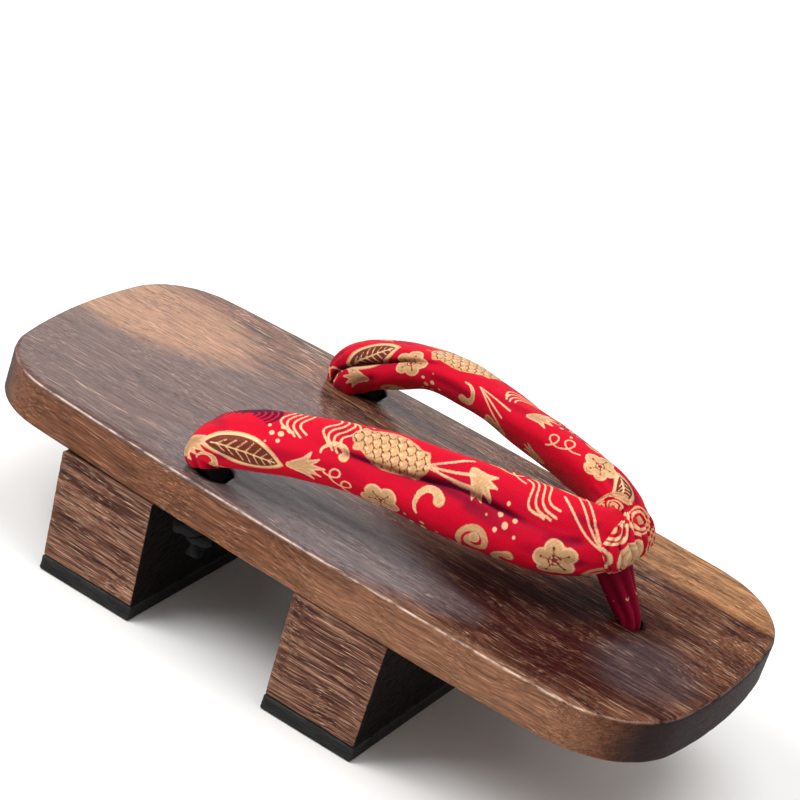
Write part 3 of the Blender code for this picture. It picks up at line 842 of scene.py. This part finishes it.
strap = {
    "squareness": 2.3, "stations": 600, "sides": 150, "curveSteps": 3000,
    "creaseSpread": 26.0, "creaseDepth": 0.6, "pinchSpread": 4.6,           # spreads are in degrees
    "restAt": 59.05,                            # the ends lie flat on the deck
    "pinch": (      # row and how sharply the crease is pinched there
        (0.0, 0.0), (6.1, 0.0), (6.9, 1.0), (10.0, 1.0), (10.8, 0.15), (12.0, 0.0), (21.0, 0.0), (22.4, 1.0),
        (26.4, 1.0), (27.0, 0.6),
    ),
    "girth": 66.0,                              # round the section, for the print
    "foldRow": 14, "capSteps": 5, "capDepth": 1.2,
    "lumpLength": 13.0, "lumpDepth": 0.28, "fineDepth": 0.12,               # the stuffing's unevenness
    "gatherLength": 16.0, "gatherDepth": 0.55, "gatherReach": 7.0,          # gathers beside the toe fold
    "endPleats": 9, "endPleatDepth": 0.36, "endTuck": 0.3, "endReach": 6.0,
    "folds": (      # row and angle at each end, width and depth; a negative depth is a ridge
        (12.3, 140, 10.6, 132, 1.5, 0.5), (12.2, 104, 11.2, 112, 1.2, 0.6),
        (12.4, 176, 10.9, 182, 1.5, 0.5), (12.6, 76, 11.8, 66, 1.3, 0.5), (12.3, 204, 11.4, 216, 1.4, 0.5),
        (12.4, 158, 11.0, 158, 1.0, -0.3), (15.0, 100, 16.8, 84, 1.4, 0.6), (14.9, 60, 16.2, 34, 1.3, 0.6),
        (15.0, 135, 16.6, 140, 1.4, 0.5), (14.9, 20, 16.6, 350, 1.3, 0.6), (14.9, 330, 16.2, 312, 1.3, 0.5),
        (2.2, 80, 3.4, 132, 1.5, 0.4), (2.8, 190, 4.6, 170, 1.8, 0.5), (1.0, 118, 2.2, 158, 1.2, 0.5),
        (1.4, 60, 3.0, 88, 1.3, 0.35), (8.4, 96, 10.2, 108, 1.3, 0.7), (9.4, 112, 10.7, 124, 1.4, 0.45),
        (5.2, 150, 7.4, 146, 2.4, 0.35), (8.2, 186, 10.6, 182, 2.6, 0.4), (6.6, 70, 7.6, 96, 1.6, 0.4),
        (22.4, 70, 24.2, 92, 1.8, 0.4), (20.2, 330, 21.8, 348, 2.0, 0.5), (17.6, 96, 19.6, 88, 2.4, 0.35),
        (24.6, 100, 26.0, 130, 1.4, 0.5), (25.2, 50, 26.6, 40, 1.3, 0.5), (23.4, 330, 25.4, 320, 1.6, 0.5),
        (18.4, 20, 20.0, 8, 1.8, 0.4), (16.8, 60, 18.4, 40, 2.2, 0.4),
    ),
}


def smoothRows(rows, places):
    # all columns at places counted in rows, on a curve through the rows
    rows = np.asarray(rows, float)
    before = 2 * rows[0] - rows[1]
    after = 2 * rows[-1] - rows[-2]
    padded = np.vstack([before, rows, after])
    i = np.clip(np.floor(places).astype(int), 0, len(rows) - 2)
    t = (places - i)[:, None]
    p0, p1, p2, p3 = (padded[i + k] for k in range(4))
    return 0.5 * (2 * p1 + (p2 - p0) * t + (2 * p0 - 5 * p1 + 4 * p2 - p3) * t ** 2
                  + (3 * p1 - p0 - 3 * p2 + p3) * t ** 3)


def strapPoints(places, angles, lift):
    # points of the strap's skin, lifted off it, at places counted in rows and angles round the section
    last = len(strapRows) - 1
    row = smoothRows(strapRows, places)
    ahead = smoothRows(strapRows, np.minimum(places + 0.02, last))[:, :3]
    behind = smoothRows(strapRows, np.maximum(places - 0.02, 0))[:, :3]
    run = unit(ahead - behind)
    heading, roll, turn = (np.radians(v) for v in (row[:, 3], row[:, 4], angles))
    level = np.column_stack([-np.sin(heading), np.cos(heading), np.zeros(len(places))])
    level = unit(level - run * np.sum(level * run, axis=1)[:, None])
    raised = np.cross(run, level)
    widthAxis = level * np.cos(roll)[:, None] + raised * np.sin(roll)[:, None]
    heightAxis = np.cross(run, widthAxis)
    c, s = np.cos(turn), np.sin(turn)
    power = strap["squareness"]
    reach = (np.abs(c) ** power + np.abs(s) ** power) ** (-1 / power)
    off = signedAngle(angles - row[:, 7])
    sharp = row[:, 8] * np.interp(places, *zip(*strap["pinch"]))
    pinched = sharp * np.exp(-(off / strap["pinchSpread"]) ** 2)
    broad = row[:, 8] * np.exp(-(off / strap["creaseSpread"]) ** 2)
    trough = strap["creaseDepth"] * broad + pinched
    across = row[:, 5] / 2 * reach - trough + lift
    upward = row[:, 6] / 2 * reach - trough + lift
    points = row[:, :3] + widthAxis * (c * across)[:, None] + heightAxis * (s * upward)[:, None]
    # the second value is the painted shade along the crease
    return points, 0.07 * broad + 0.5 * pinched


def strapStations(count):
    # places counted in rows, evenly spaced along the strap, and how far along each one is
    dense = np.linspace(0, len(strapRows) - 1, strap["curveSteps"])
    steps = np.linalg.norm(np.diff(smoothRows(strapRows, dense)[:, :3], axis=0), axis=1)
    travelled = np.concatenate([[0.0], np.cumsum(steps)])
    along = np.linspace(0, travelled[-1], count)
    return np.interp(along, travelled, dense), along, dense, travelled


def lineDistance(u, v, start, end):
    # distance to a straight line, and the share of it that is reached
    line = np.subtract(end, start)
    share = np.clip(((u - start[0]) * line[0] + (v - start[1]) * line[1]) / max(line @ line, 1e-9), 0, 1)
    return np.hypot(u - start[0] - share * line[0], v - start[1] - share * line[1]), share


def strapFolds(u, angles, rowToMm):
    # how far the cloth sinks at the listed folds, in millimetres
    sunk = np.zeros(len(u))
    perDegree = strap["girth"] / 360
    for rowA, angleA, rowB, angleB, width, depth in strap["folds"]:
        v = signedAngle(angles - angleA) * perDegree
        reach = signedAngle(angleB - angleA) * perDegree
        away, share = lineDistance(u, v, (rowToMm(rowA), 0.0), (rowToMm(rowB), reach))
        sunk += depth * np.exp(-(away / width) ** 2) * (1 - share) ** 0.5
    return sunk


def strapSurface(places, along, angles, rowToMm):
    # the skin with its soft lumps, folds, gathers at the toe and pleats at the ends, and the painted shade in
    # its creases, folds and pleats, darker towards the ends
    total = rowToMm(len(strapRows) - 1)
    c, s = np.cos(np.radians(angles)), np.sin(np.radians(angles))
    lumps = np.column_stack([along / strap["lumpLength"], c * 2.0, s * 2.0])
    soft = softNoise(lumps, 5) * strap["lumpDepth"] + softNoise(lumps * 2.3, 6) * strap["fineDepth"]
    fromFold = np.maximum(np.abs(along - rowToMm(strap["foldRow"])) - 5.0, 0)
    gather = softNoise(np.column_stack([along / strap["gatherLength"], c * 5.2, s * 5.2]), 9)
    gather *= np.exp(-fromFold / strap["gatherReach"]) * strap["gatherDepth"]
    toEnd = np.exp(-np.minimum(along, total - along) / strap["endReach"])
    spots = np.column_stack([along / 9, angles / 33, np.zeros(len(along))])
    pleat = np.cos(np.radians(angles * strap["endPleats"]) + 1.5 * softNoise(spots, 8))
    sunk = strapFolds(along, angles, rowToMm)
    lift = soft - sunk + gather + toEnd * (pleat * strap["endPleatDepth"] - strap["endTuck"])
    points, creased = strapPoints(places, angles, lift)
    points[:, 2] = np.maximum(points[:, 2], strap["restAt"])
    # painted shade: creases, folds and end pleats are darkened, and the ends a little more
    return points, np.clip(creased + sunk * 0.9 - toEnd * pleat * 0.4 + toEnd * 0.15, 0, 1)


# print: every motif is drawn as a distance in millimetres, less than zero inside
inks = ("gold", "cream", "brown", "plum")
far = 3.0                                       # the distance where nothing is near


def disc(x, y, centre, radius):
    return np.hypot(x - centre[0], y - centre[1]) - radius


def swing(turn, reachX, reachY=None):
    # points on a circle, or on an oval with two reaches
    return np.stack([reachX * np.cos(turn), (reachX if reachY is None else reachY) * np.sin(turn)], axis=-1)


def nearest(edges):
    return np.minimum(np.min(list(edges), axis=0), far)


def strokeEdge(x, y, route, widths):
    # edge of a line drawn through the route's points, with one width or a width at each
    widths = np.broadcast_to(widths, len(route))
    strokes = []
    for start, end, first, last in zip(route, route[1:], widths, widths[1:]):
        away, share = lineDistance(x, y, start, end)
        strokes.append(away - (first + (last - first) * share) / 2)
    return nearest(strokes)


def drawScales(x, y, size):
    # overlapping round scales in a ragged patch, with one dark line and one pale line to a scale
    patch = (np.hypot(x / size, y / size * 2) - 1) * size / 2
    patch += 0.8 * softNoise(np.column_stack([x / 2.6, y / 2.6, x * 0]), 3)
    radius = 2.6
    dark, pale = np.full(len(x), far), np.full(len(x), far)
    taken = np.zeros(len(x), bool)
    for row in range(int(-size / radius) * 2 - 2, int(size / radius) * 2 + 3):
        shift = radius if row % 2 else 0.0
        centreY = np.round((y - shift) / (2 * radius)) * 2 * radius + shift
        away = np.hypot(x - row * radius * 0.55, y - centreY)
        inside = (away < radius) & ~taken
        dark = np.where(inside, np.abs(away - radius + 0.22) - 0.24, dark)
        pale = np.where(inside, away - radius * 0.3, pale)
        taken |= inside
    return {"goldEdge": patch, "brownEdge": np.maximum(dark, patch + 0.3),
            "creamEdge": np.maximum(pale, patch + 0.6)}


def drawBlossom(x, y, size):
    # a round blossom of five petals
    turns = 2 * np.pi * np.arange(5) / 5
    tips = swing(turns, 0.6 * size)
    petals = nearest(disc(x, y, centre, 0.42 * size) for centre in swing(turns, 0.56 * size))
    veins = [lineDistance(x, y, (0.0, 0.0), tip)[0] - 0.2 for tip in tips]
    veins += [disc(x, y, tip, 0.42) for tip in tips]
    veins.append(np.abs(np.hypot(x, y) - 0.24 * size) - 0.22)
    return {"goldEdge": petals, "creamEdge": np.abs(petals + 0.15) - 0.34, "brownEdge": nearest(veins)}


def drawCurl(x, y, size):
    # a cloud curl that ends in a round bulb
    t = np.linspace(0, 1, 26)
    route = swing(t * 2.6 * math.pi, size * (1 - 0.74 * t))
    tail = [(size * 1.5, -size * 1.3), (size * 1.2, -size * 0.6)]
    widths = np.concatenate([[0.5, 1.0], 1.5 + 0.5 * t]) * size / 4.4
    bulb = disc(x, y, route[-1], 0.34 * size)
    edge = np.minimum(strokeEdge(x, y, np.vstack([tail, route]), widths), bulb)
    return {"goldEdge": edge, "creamEdge": np.abs(bulb + 0.3) - 0.22}


def drawHook(x, y, size):
    # a fat crescent with a round head
    t = np.linspace(0, 1, 16)
    route = swing(math.pi * (0.1 + 1.15 * t), size, size * 0.8)
    edge = strokeEdge(x, y, route, size * (0.18 + 0.5 * t))
    head = disc(x, y, route[-1], 0.42 * size)
    return {"goldEdge": np.minimum(edge, head), "creamEdge": np.abs(edge + 0.25) - 0.22}


def drawWater(x, y, size):
    # a bundle of thin wavy lines
    t = np.linspace(-1, 1, 20)
    lines = []
    for k in range(4):
        bow = 1.8 * np.sin(t * 3.4 + 0.25 * k)
        route = np.column_stack([t * size * (1 - 0.15 * abs(k - 1.4)), 2.1 * (k - 1.5) + bow])
        lines.append(strokeEdge(x, y, route, 0.66))
    return {"creamEdge": nearest(lines)}


def drawThread(x, y, size):
    # one thin line that loops and comes back
    t = np.linspace(0, 1, 40)
    route = size * np.column_stack([2 * t - 1 + 0.5 * np.sin(t * 13.0), 0.42 * np.cos(t * 13.0)])
    return {"creamEdge": strokeEdge(x, y, route, 0.62)}


def drawRays(x, y, size):
    # three pale lines that meet at a point
    return {"creamEdge": nearest(strokeEdge(x, y, [(size, 0.0), (-size, 2 * size * lean)], (0.5, 0.9))
                                 for lean in (-0.34, -0.12, 0.2))}


def drawLeaf(x, y, size):
    # a pointed brown leaf with pale veins, inside a pale and a golden border
    bow = size * 1.3
    drop = math.sqrt(bow ** 2 - size ** 2)
    lens = np.maximum(disc(x, y, (0.0, -drop), bow), disc(x, y, (0.0, drop), bow))
    ribs = [lineDistance(x, y, (-size * 0.8, 0.0), (size * 0.85, 0.0))[0] - 0.3]
    for k in range(-3, 4):
        start = k * size * 0.22
        for side in (1, -1):
            tip = (start + size * 0.2, side * size * 0.42 * (1 - abs(k) * 0.18))
            ribs.append(lineDistance(x, y, (start, 0.0), tip)[0] - 0.22)
    veins = np.maximum(nearest(ribs), lens + 1.0)
    return {"goldEdge": lens - 1.0, "brownEdge": np.maximum(lens + 0.5, -veins),
            "creamEdge": np.minimum(np.abs(lens - 0.1) - 0.42, veins)}


def drawCrest(x, y, size):
    # flame-like tongues that fan out of one side
    tongues = []
    for k in range(5):
        turn = math.radians(-44 + 24 * k)
        reach = size * (1.0 - 0.09 * abs(k - 2))
        route = [(-0.2 * size, 0.0), swing(turn, 0.55 * reach, 0.44 * reach), swing(turn, reach)]
        tongues.append(strokeEdge(x, y, route, (2.6, 1.9, 0.2)))
    edge = nearest(tongues)
    return {"goldEdge": edge, "creamEdge": np.abs(edge + 0.1) - 0.28}


def drawMist(x, y, size):
    # dusky curved lines in the shape of a cloud
    turn = np.linspace(0, math.pi, 16)
    widths = 0.6 + 0.9 * np.sin(turn)
    return {"plumEdge": nearest(strokeEdge(x, y, swing(1.3 * turn, radius, 0.6 * radius), widths)
                                for radius in size * (0.22 + 0.19 * np.arange(5)))}


def drawDots(x, y, size):
    # a short spiral of dots that get smaller
    return {"creamEdge": nearest(disc(x, y, swing(2.4 * k, size * (0.25 + 0.13 * k)), 1.0 - 0.1 * k)
                                 for k in range(7))}


motifs = {
    "scales": drawScales, "blossom": drawBlossom, "curl": drawCurl, "hook": drawHook, "water": drawWater,
    "thread": drawThread, "rays": drawRays, "leaf": drawLeaf, "crest": drawCrest, "mist": drawMist,
    "dots": drawDots,
}
# motif, millimetres along from the right rear end, millimetres round from the upper face, size, degrees
layout = (
    ("mist", 19, -3, 10.0, 170), ("leaf", 21, 13, 12.0, 8), ("crest", 5, 8, 8.0, 60),
    ("hook", 7, 19, 4.0, 200), ("crest", 38, 13, 9.0, -14), ("water", 34, -4, 8.0, 80),
    ("thread", 52, 14, 5.5, 40), ("water", 48, -3, 8.0, 96), ("scales", 64, -2, 13.0, 6),
    ("blossom", 66, 16, 7.0, 12), ("hook", 80, 8, 4.4, 100), ("rays", 82, -4, 8.0, 160),
    ("dots", 80, 19, 7.0, 10), ("crest", 91, -5, 8.0, 30), ("curl", 97, 12, 5.2, 150),
    ("hook", 109, 17, 5.0, 40), ("dots", 104, 3, 6.0, 70), ("water", 112, -7, 8.5, 50),
    ("blossom", 121, 9, 6.0, 40), ("rays", 127, -3, 9.0, 60), ("curl", 132, 14, 4.4, 0),
    ("thread", 100, -13, 6.0, 20), ("scales", 40, -18, 9.0, 20), ("dots", 58, -15, 6.0, 0),
    ("blossom", 78, -18, 6.0, 50), ("curl", 120, -17, 4.6, 80), ("hook", 24, -18, 4.4, 20),
    ("water", 12, 28, 7.0, 20), ("dots", 30, 28, 6.0, 0), ("curl", 50, 28, 4.6, 40),
    ("scales", 92, 29, 9.0, 0), ("crest", 122, 26, 7.0, 200), ("leaf", 150, -12, 9.0, 190),
    ("water", 160, 0, 8.0, 120), ("blossom", 164, -15, 6.4, 10), ("curl", 173, -5, 4.8, 200),
    ("thread", 180, -17, 6.5, 160), ("dots", 183, -8, 7.0, 40), ("hook", 191, 0, 4.6, 10),
    ("crest", 196, -13, 9.0, 150), ("water", 208, -5, 8.5, 100), ("rays", 214, -17, 8.0, 20),
    ("scales", 234, -4, 14.0, 172), ("hook", 226, -20, 4.6, 60), ("blossom", 251, -15, 6.6, 30),
    ("curl", 252, 4, 4.8, 120), ("leaf", 268, -11, 10.0, 160), ("water", 268, 6, 8.0, 60),
    ("crest", 281, -2, 8.0, 120), ("dots", 242, -24, 6.0, 0), ("scales", 200, 14, 10.0, 20),
    ("curl", 180, 14, 4.6, 90), ("blossom", 224, 16, 6.2, 60), ("water", 246, 20, 8.0, 0),
    ("dots", 212, 28, 6.0, 0), ("hook", 262, 20, 4.6, 0), ("crest", 190, -30, 7.0, 0),
    ("blossom", 212, -30, 6.0, 0), ("curl", 262, -30, 4.8, 0), ("scales", 160, 24, 8.0, 0),
    ("crest", 272, -21, 8.0, 20), ("thread", 284, -12, 5.0, 60), ("hook", 48, 5, 3.8, 150),
    ("dots", 30, 3, 5.0, 20), ("dots", 138, 4, 6.0, 0),
)


def blankPrint(count):
    return {ink + "Edge": np.full(count, far) for ink in inks}


def drawPrint(u, v):
    # all motifs of the layout at u along the strap and v round it
    edges = blankPrint(len(u))
    for kind, atU, atV, size, degrees in layout:
        near = np.flatnonzero((np.abs(u - atU) < size * 2.2 + 2) & (np.abs(v - atV) < size * 2.2 + 2))
        c, s = math.cos(math.radians(degrees)), math.sin(math.radians(degrees))
        x, y = u[near] - atU, v[near] - atV
        for ink, edge in motifs[kind](c * x + s * y, c * y - s * x, size).items():
            edges[ink][near] = np.minimum(edges[ink][near], edge)
    return edges


def buildStrap(finish):
    places, along, dense, travelled = strapStations(strap["stations"])

    def rowToMm(row):
        return float(np.interp(row, dense, travelled))

    sides, steps = strap["sides"], strap["capSteps"]
    angles = 360 * np.arange(sides) / sides
    placeGrid, angleGrid = (grid.ravel() for grid in np.meshgrid(places, angles, indexing="ij"))
    alongGrid = np.repeat(along, sides)
    skin, paintedShade = strapSurface(placeGrid, alongGrid, angleGrid, rowToMm)
    rings = skin.reshape(-1, sides, 3)
    caps = []
    for ring, nextRing in ((rings[0], rings[3]), (rings[-1], rings[-4])):
        centre = ring.mean(0)
        outward = unit(centre - nextRing.mean(0)) * strap["capDepth"]
        caps.append([centre + (ring - centre) * math.cos(turn) + outward * math.sin(turn)
                     for turn in math.pi / 2 * np.arange(1, steps + 1) / (steps + 1)])
    points, faces = closedTube(np.concatenate([caps[0][::-1], rings, caps[1]]))
    points[:, 2] = np.maximum(points[:, 2], strap["restAt"])

    def spread(values):                         # the caps take the values of the first and last ring
        padded = np.pad(values.reshape(len(rings), sides, -1), ((steps, steps), (0, 0), (0, 0)), mode="edge")
        return padded.reshape(len(points), -1).squeeze()

    v = signedAngle(angleGrid - 90) / 360 * strap["girth"]
    layers = {name: spread(edge) for name, edge in drawPrint(alongGrid, v).items()}
    layers["paintedShade"] = spread(paintedShade)
    layers["clothMap"] = spread(np.column_stack([alongGrid, v, np.zeros(len(v))]))
    piece = addPiece("thongStrap", points, faces, finish, ["strap"], layers)
    print("geta: strap is", round(along[-1]), "mm long")
    return rowToMm


# toe thong: a gathered sleeve round the strap's fold, and the post that it turns into
thong = {
    "gap": 0.15, "thickness": 1.1, "gather": 1.4, "rows": 72, "sides": 150,
    "pinchAngle": 48.0, "pinchRow": 14.3,
    # how far it reaches back and to the far side, at degrees from the pinch
    "toRear": ((0, 2.4), (14, 5.5), (30, 10.0), (60, 13.4), (100, 12.0), (135, 10.0), (180, 7.0)),
    "toFar": ((0, 2.2), (20, 3.6), (60, 5.6), (100, 6.2), (140, 5.4), (180, 5.0)),
    "inner": 4.0,                               # how far it reaches on the fold's inner side
    "drawBack": 0.35,                           # how many rows it moves back, below, to where the post starts
    "pleats": 5.5, "pleatDepth": 0.75, "wrinkleDepth": 0.45, "knotDepth": 1.1, "knotSpread": 15.0,
    # the band's print: circles in circles, some of them filled
    "printRound": 56.0, "ringCell": (9.4, 8.2), "rings": (3.9, 2.5), "ringLine": 0.42, "ringCore": 1.1,
    "fullEvery": 3,
    # postShade is painted shade over the whole post
    "post": {"sides": 72, "lobes": 7, "lobeDepth": 0.34, "twist": 0.16, "steps": 10}, "postShade": 0.35,
    "postDash": 9.0, "dashFrom": 0.25,          # the post's dashes: how far apart, and how few are drawn
}
postRoute = (   # x, y, z, radius along X, radius along Y
    (76.4, 0.0, 76.6, 5.6, 4.8), (78.4, 0.0, 74.0, 5.8, 5.0), (80.8, 0.0, 71.0, 5.4, 4.8),
    (83.8, 0.0, 67.4, 4.8, 4.4), (87.2, 0.0, 63.4, 4.2, 4.0), (89.8, 0.0, 60.2, 3.5, 3.6),
    (91.0, 0.0, 55.0, 3.3, 3.4), (91.0, 0.0, 44.5, 3.0, 3.1),
)


def buildThongBand(finish, rowToMm):
    angles = 360 * np.arange(thong["sides"]) / thong["sides"]
    shares, turns = (grid.ravel() for grid in
                     np.meshgrid(np.linspace(-1, 1, thong["rows"]), angles, indexing="ij"))
    c, s = np.cos(np.radians(turns)), np.sin(np.radians(turns))
    perRow = (rowToMm(strap["foldRow"] + 1) - rowToMm(strap["foldRow"] - 1)) / 2
    away = signedAngle(turns - thong["pinchAngle"])
    easing = np.clip((180 - np.abs(away)) / 45, 0, 1)
    reaches = []
    for side, extra in (("toRear", 2.0), ("toFar", 0.0)):
        reach = np.interp(np.abs(away), *zip(*thong[side]))
        reach = np.where(away > 0, reach, np.minimum(reach, thong["inner"]))    # above 0 is the outer side
        base = thong["inner"] + extra
        reaches.append(base + (reach - base) * easing)
    offset = shares * np.where(shares < 0, *reaches)
    down = np.clip(-s, 0, 1)
    places = thong["pinchRow"] - thong["drawBack"] * down + offset / perRow
    crown = np.sqrt(np.clip(1 - shares ** 6, 0, 1))
    noise = softNoise(np.column_stack([shares * 2.0, c * 1.5, s * 1.5]), 21)
    wrinkle = softNoise(np.column_stack([shares * 6.5, c * 1.35, s * 1.35]), 23)
    pleat = 1 - 2 * np.abs(np.sin(shares * math.pi * thong["pleats"] + 1.9 * noise)) ** 0.55
    tied = np.exp(-(away / thong["knotSpread"]) ** 2)
    spread = np.clip(np.abs(away) / 24, 0.25, 1.0)
    height = thong["thickness"] - pleat * thong["pleatDepth"] * (1.0 - 0.45 * tied)
    height += thong["wrinkleDepth"] * wrinkle * spread - thong["knotDepth"] * tied
    height += thong["gather"] * down ** 2
    outer, _ = strapPoints(places, turns, np.maximum(thong["gap"] + height * crown, 0.25 * crown))
    inner, _ = strapPoints(places, turns, np.full(len(turns), -0.6))
    sides = len(angles)
    rings = np.concatenate([outer.reshape(-1, sides, 3), inner.reshape(-1, sides, 3)[::-1]])
    faces = tubeFaces(len(rings), sides)
    final = (len(rings) - 1) * sides
    faces += [[final + k, final + (k + 1) % sides, (k + 1) % sides, k] for k in range(sides)]
    v = turns / 360 * thong["printRound"]
    wide, high = thong["ringCell"]
    aroundBand = v + 0.8 * noise
    column = np.floor(aroundBand / high)
    alongBand = offset + 0.6 * noise + 1.2 + (column % 2) * wide / 2
    place = np.floor(alongBand / wide)
    fromCentre = np.hypot(alongBand - (place + 0.5) * wide, aroundBand - (column + 0.5) * high)
    full = (place * 2 + column) % thong["fullEvery"] == 0
    outlines = [np.abs(fromCentre - radius) - thong["ringLine"] for radius in thong["rings"]]
    layers = blankPrint(len(v))
    layers["creamEdge"] = nearest(outlines)
    layers["goldEdge"] = fromCentre - np.where(full, max(thong["rings"]), thong["ringCore"])
    # painted shade in the pleats and at the knot, and a little over the whole band
    layers["paintedShade"] = np.clip(pleat * 0.9 + 0.22 + 0.6 * tied, 0, 1)
    layers["clothMap"] = np.column_stack([offset, v, np.zeros(len(v))])
    layers = {name: np.concatenate([values, values]) for name, values in layers.items()}
    addPiece("thongBand", rings.reshape(-1, 3), faces, finish, ["toe_thong"], layers)


def sweep(route, sides, lobes, lobeDepth, twist, steps):
    # rings along a smooth route of x, y, z and two radii; lobes are strands or pleats, turned by the twist
    places = np.linspace(0, len(route) - 1, (len(route) - 1) * steps + 1)
    rows = smoothRows(route, places)
    line = rows[:, :3]
    run = unit(np.gradient(line, axis=0))
    side = np.array((0.0, 1.0, 0.0))
    travelled = np.concatenate([[0.0], np.cumsum(np.linalg.norm(np.diff(line, axis=0), axis=1))])
    turn = 2 * np.pi * np.arange(sides) / sides
    rings = []
    for i in range(len(places)):
        side = side - run[i] * (side @ run[i])
        side = side / np.linalg.norm(side)
        front = np.cross(side, run[i])
        swell = 1 + lobeDepth * (np.abs(np.cos((turn * lobes + twist * travelled[i]) / 2)) - 0.64)
        rings.append(line[i] + np.outer(np.cos(turn) * swell * rows[i, 3], front)
                     + np.outer(np.sin(turn) * swell * rows[i, 4], side))
    along = np.repeat(travelled, sides)
    around = np.tile(turn, len(places)) * np.repeat(rows[:, 3], sides)
    return np.array(rings), np.column_stack([along, around, np.zeros(len(along))])


def buildPost(finish):
    rings, cloth = sweep(postRoute, **thong["post"])
    points, faces = closedTube(rings)
    dash = thong["postDash"]
    edge = np.abs((cloth[:, 0] + 1.5 * np.sin(cloth[:, 1])) % dash - dash / 2) - 0.25
    layers = blankPrint(len(points))
    layers["creamEdge"] = np.where(softNoise(cloth / (3, 2, 1), 4) > thong["dashFrom"], edge, 1.0)
    # painted shade over the whole post
    layers["paintedShade"] = np.full(len(points), thong["postShade"])
    layers["clothMap"] = cloth
    addPiece("thongPost", points, faces, finish, ["toe_thong"], layers)


# cords through the holes, each with an overhand knot under the deck
cord = {
    "radius": 2.5, "knotScale": (2.15, 2.15, 1.75), "knotHeight": 38.6,
    "strands": {"sides": 20, "lobes": 3, "lobeDepth": 0.3, "twist": 0.9, "steps": 6},
    # routes as x and y from the hole, z and radius
    "rearNeck": ((-2.5, 0, 64.5, 4.0), (-1.0, 0, 60.5, 4.0), (0, 0, 56.0, 4.0), (0, 0, 48.0, 4.0),
                 (0, 0, 42.4, 4.0), (0, 0, 38.0, 3.2)),
    "rearTail": ((1.0, 0, 37.0, 2.3), (1.2, -0.3, 33.0, 2.4), (1.8, -0.8, 28.8, 2.7)),
    "frontTail": ((0, 0, 44.5, 2.6), (0, 0, 38.0, 2.6), (0.6, 0, 33.0, 2.4), (1.6, 0, 29.0, 2.7)),
}


def knotRoute():
    # an overhand knot, open by a little where the cord goes in and out
    t = np.linspace(0.15, 2 * math.pi - 0.15, 34)
    a, b, c = cord["knotScale"]
    ring = 2 + np.cos(3 * t)
    return np.column_stack([a * np.cos(2 * t) * ring, b * np.sin(2 * t) * ring,
                            cord["knotHeight"] + c * np.sin(3 * t), np.full(len(t), cord["radius"])])


def addTwisted(name, route, hole, finish, node):
    x, y, z, radius = np.transpose(route)
    route = np.column_stack([hole[0] + x, hole[1] + y, z, radius, radius])
    rings, cloth = sweep(route, **cord["strands"])
    points, faces = closedTube(rings)
    addPiece(name, points, faces, finish, [node], {"clothMap": cloth})


def buildCords(finish):
    front, left, right = deck["holes"]
    for name, hole in (("Left", left), ("Right", right)):
        node = "knotted_cord_" + name.lower()
        addTwisted("rearCord" + name, cord["rearNeck"], hole, finish, node)
        addTwisted("rearKnot" + name, knotRoute(), hole, finish, node)
        addTwisted("rearTail" + name, cord["rearTail"], hole, finish, node)
    addTwisted("frontKnot", knotRoute(), front, finish, "toe_thong")
    addTwisted("frontTail", cord["frontTail"], front, finish, "toe_thong")


def buildStudio():
    scene = bpy.context.scene
    scene.view_settings.view_transform = "Standard"
    world = bpy.data.worlds.new("studioWorld")
    world.use_nodes = True
    sky = world.node_tree.nodes["Background"]
    sky.inputs["Color"].default_value = (1.0, 1.0, 1.0, 1.0)
    sky.inputs["Strength"].default_value = studio["world"]
    scene.world = world
    half = studio["floorHalf"]
    mesh = bpy.data.meshes.new("studioFloor")
    corners = [(x * half * mm, y * half * mm, 0.0) for x, y in ((-1, -1), (1, -1), (1, 1), (-1, 1))]
    mesh.from_pydata(corners, [], [(0, 1, 2, 3)])
    floor = bpy.data.objects.new("studioFloor", mesh)
    scene.collection.objects.link(floor)
    finish, _, shader = startMaterial("paleFloor")
    shader.inputs["Base Color"].default_value = linear(studio["floor"])
    shader.inputs["Roughness"].default_value = 0.9
    mesh.materials.append(finish)
    for name, place, aim, width, height, watts in studio["lights"]:
        data = bpy.data.lights.new(name, "AREA")
        data.shape = "RECTANGLE"
        data.size = width * mm
        data.size_y = height * mm
        data.energy = watts
        lamp = bpy.data.objects.new(name, data)
        lamp.location = Vector(place) * mm
        lamp.rotation_euler = (Vector(aim) - Vector(place)).to_track_quat("-Z", "Y").to_euler()
        scene.collection.objects.link(lamp)
    print("geta: studio ready")


buildCamera()
buildDeck(makeWood("deckWood", deckFinish))
buildTeeth(makeWood("toothWood", toothFinish))
buildTreads(makeRubber("treadRubber", rubberFinish))
strapCloth = makePrintedCloth("strapCloth", clothFinish, "red")
rowToMm = buildStrap(strapCloth)
buildThongBand(strapCloth, rowToMm)
buildPost(makePrintedCloth("thongCloth", clothFinish, "postRed"))
buildCords(makeCord("blackCord", cordFinish))
buildStudio()
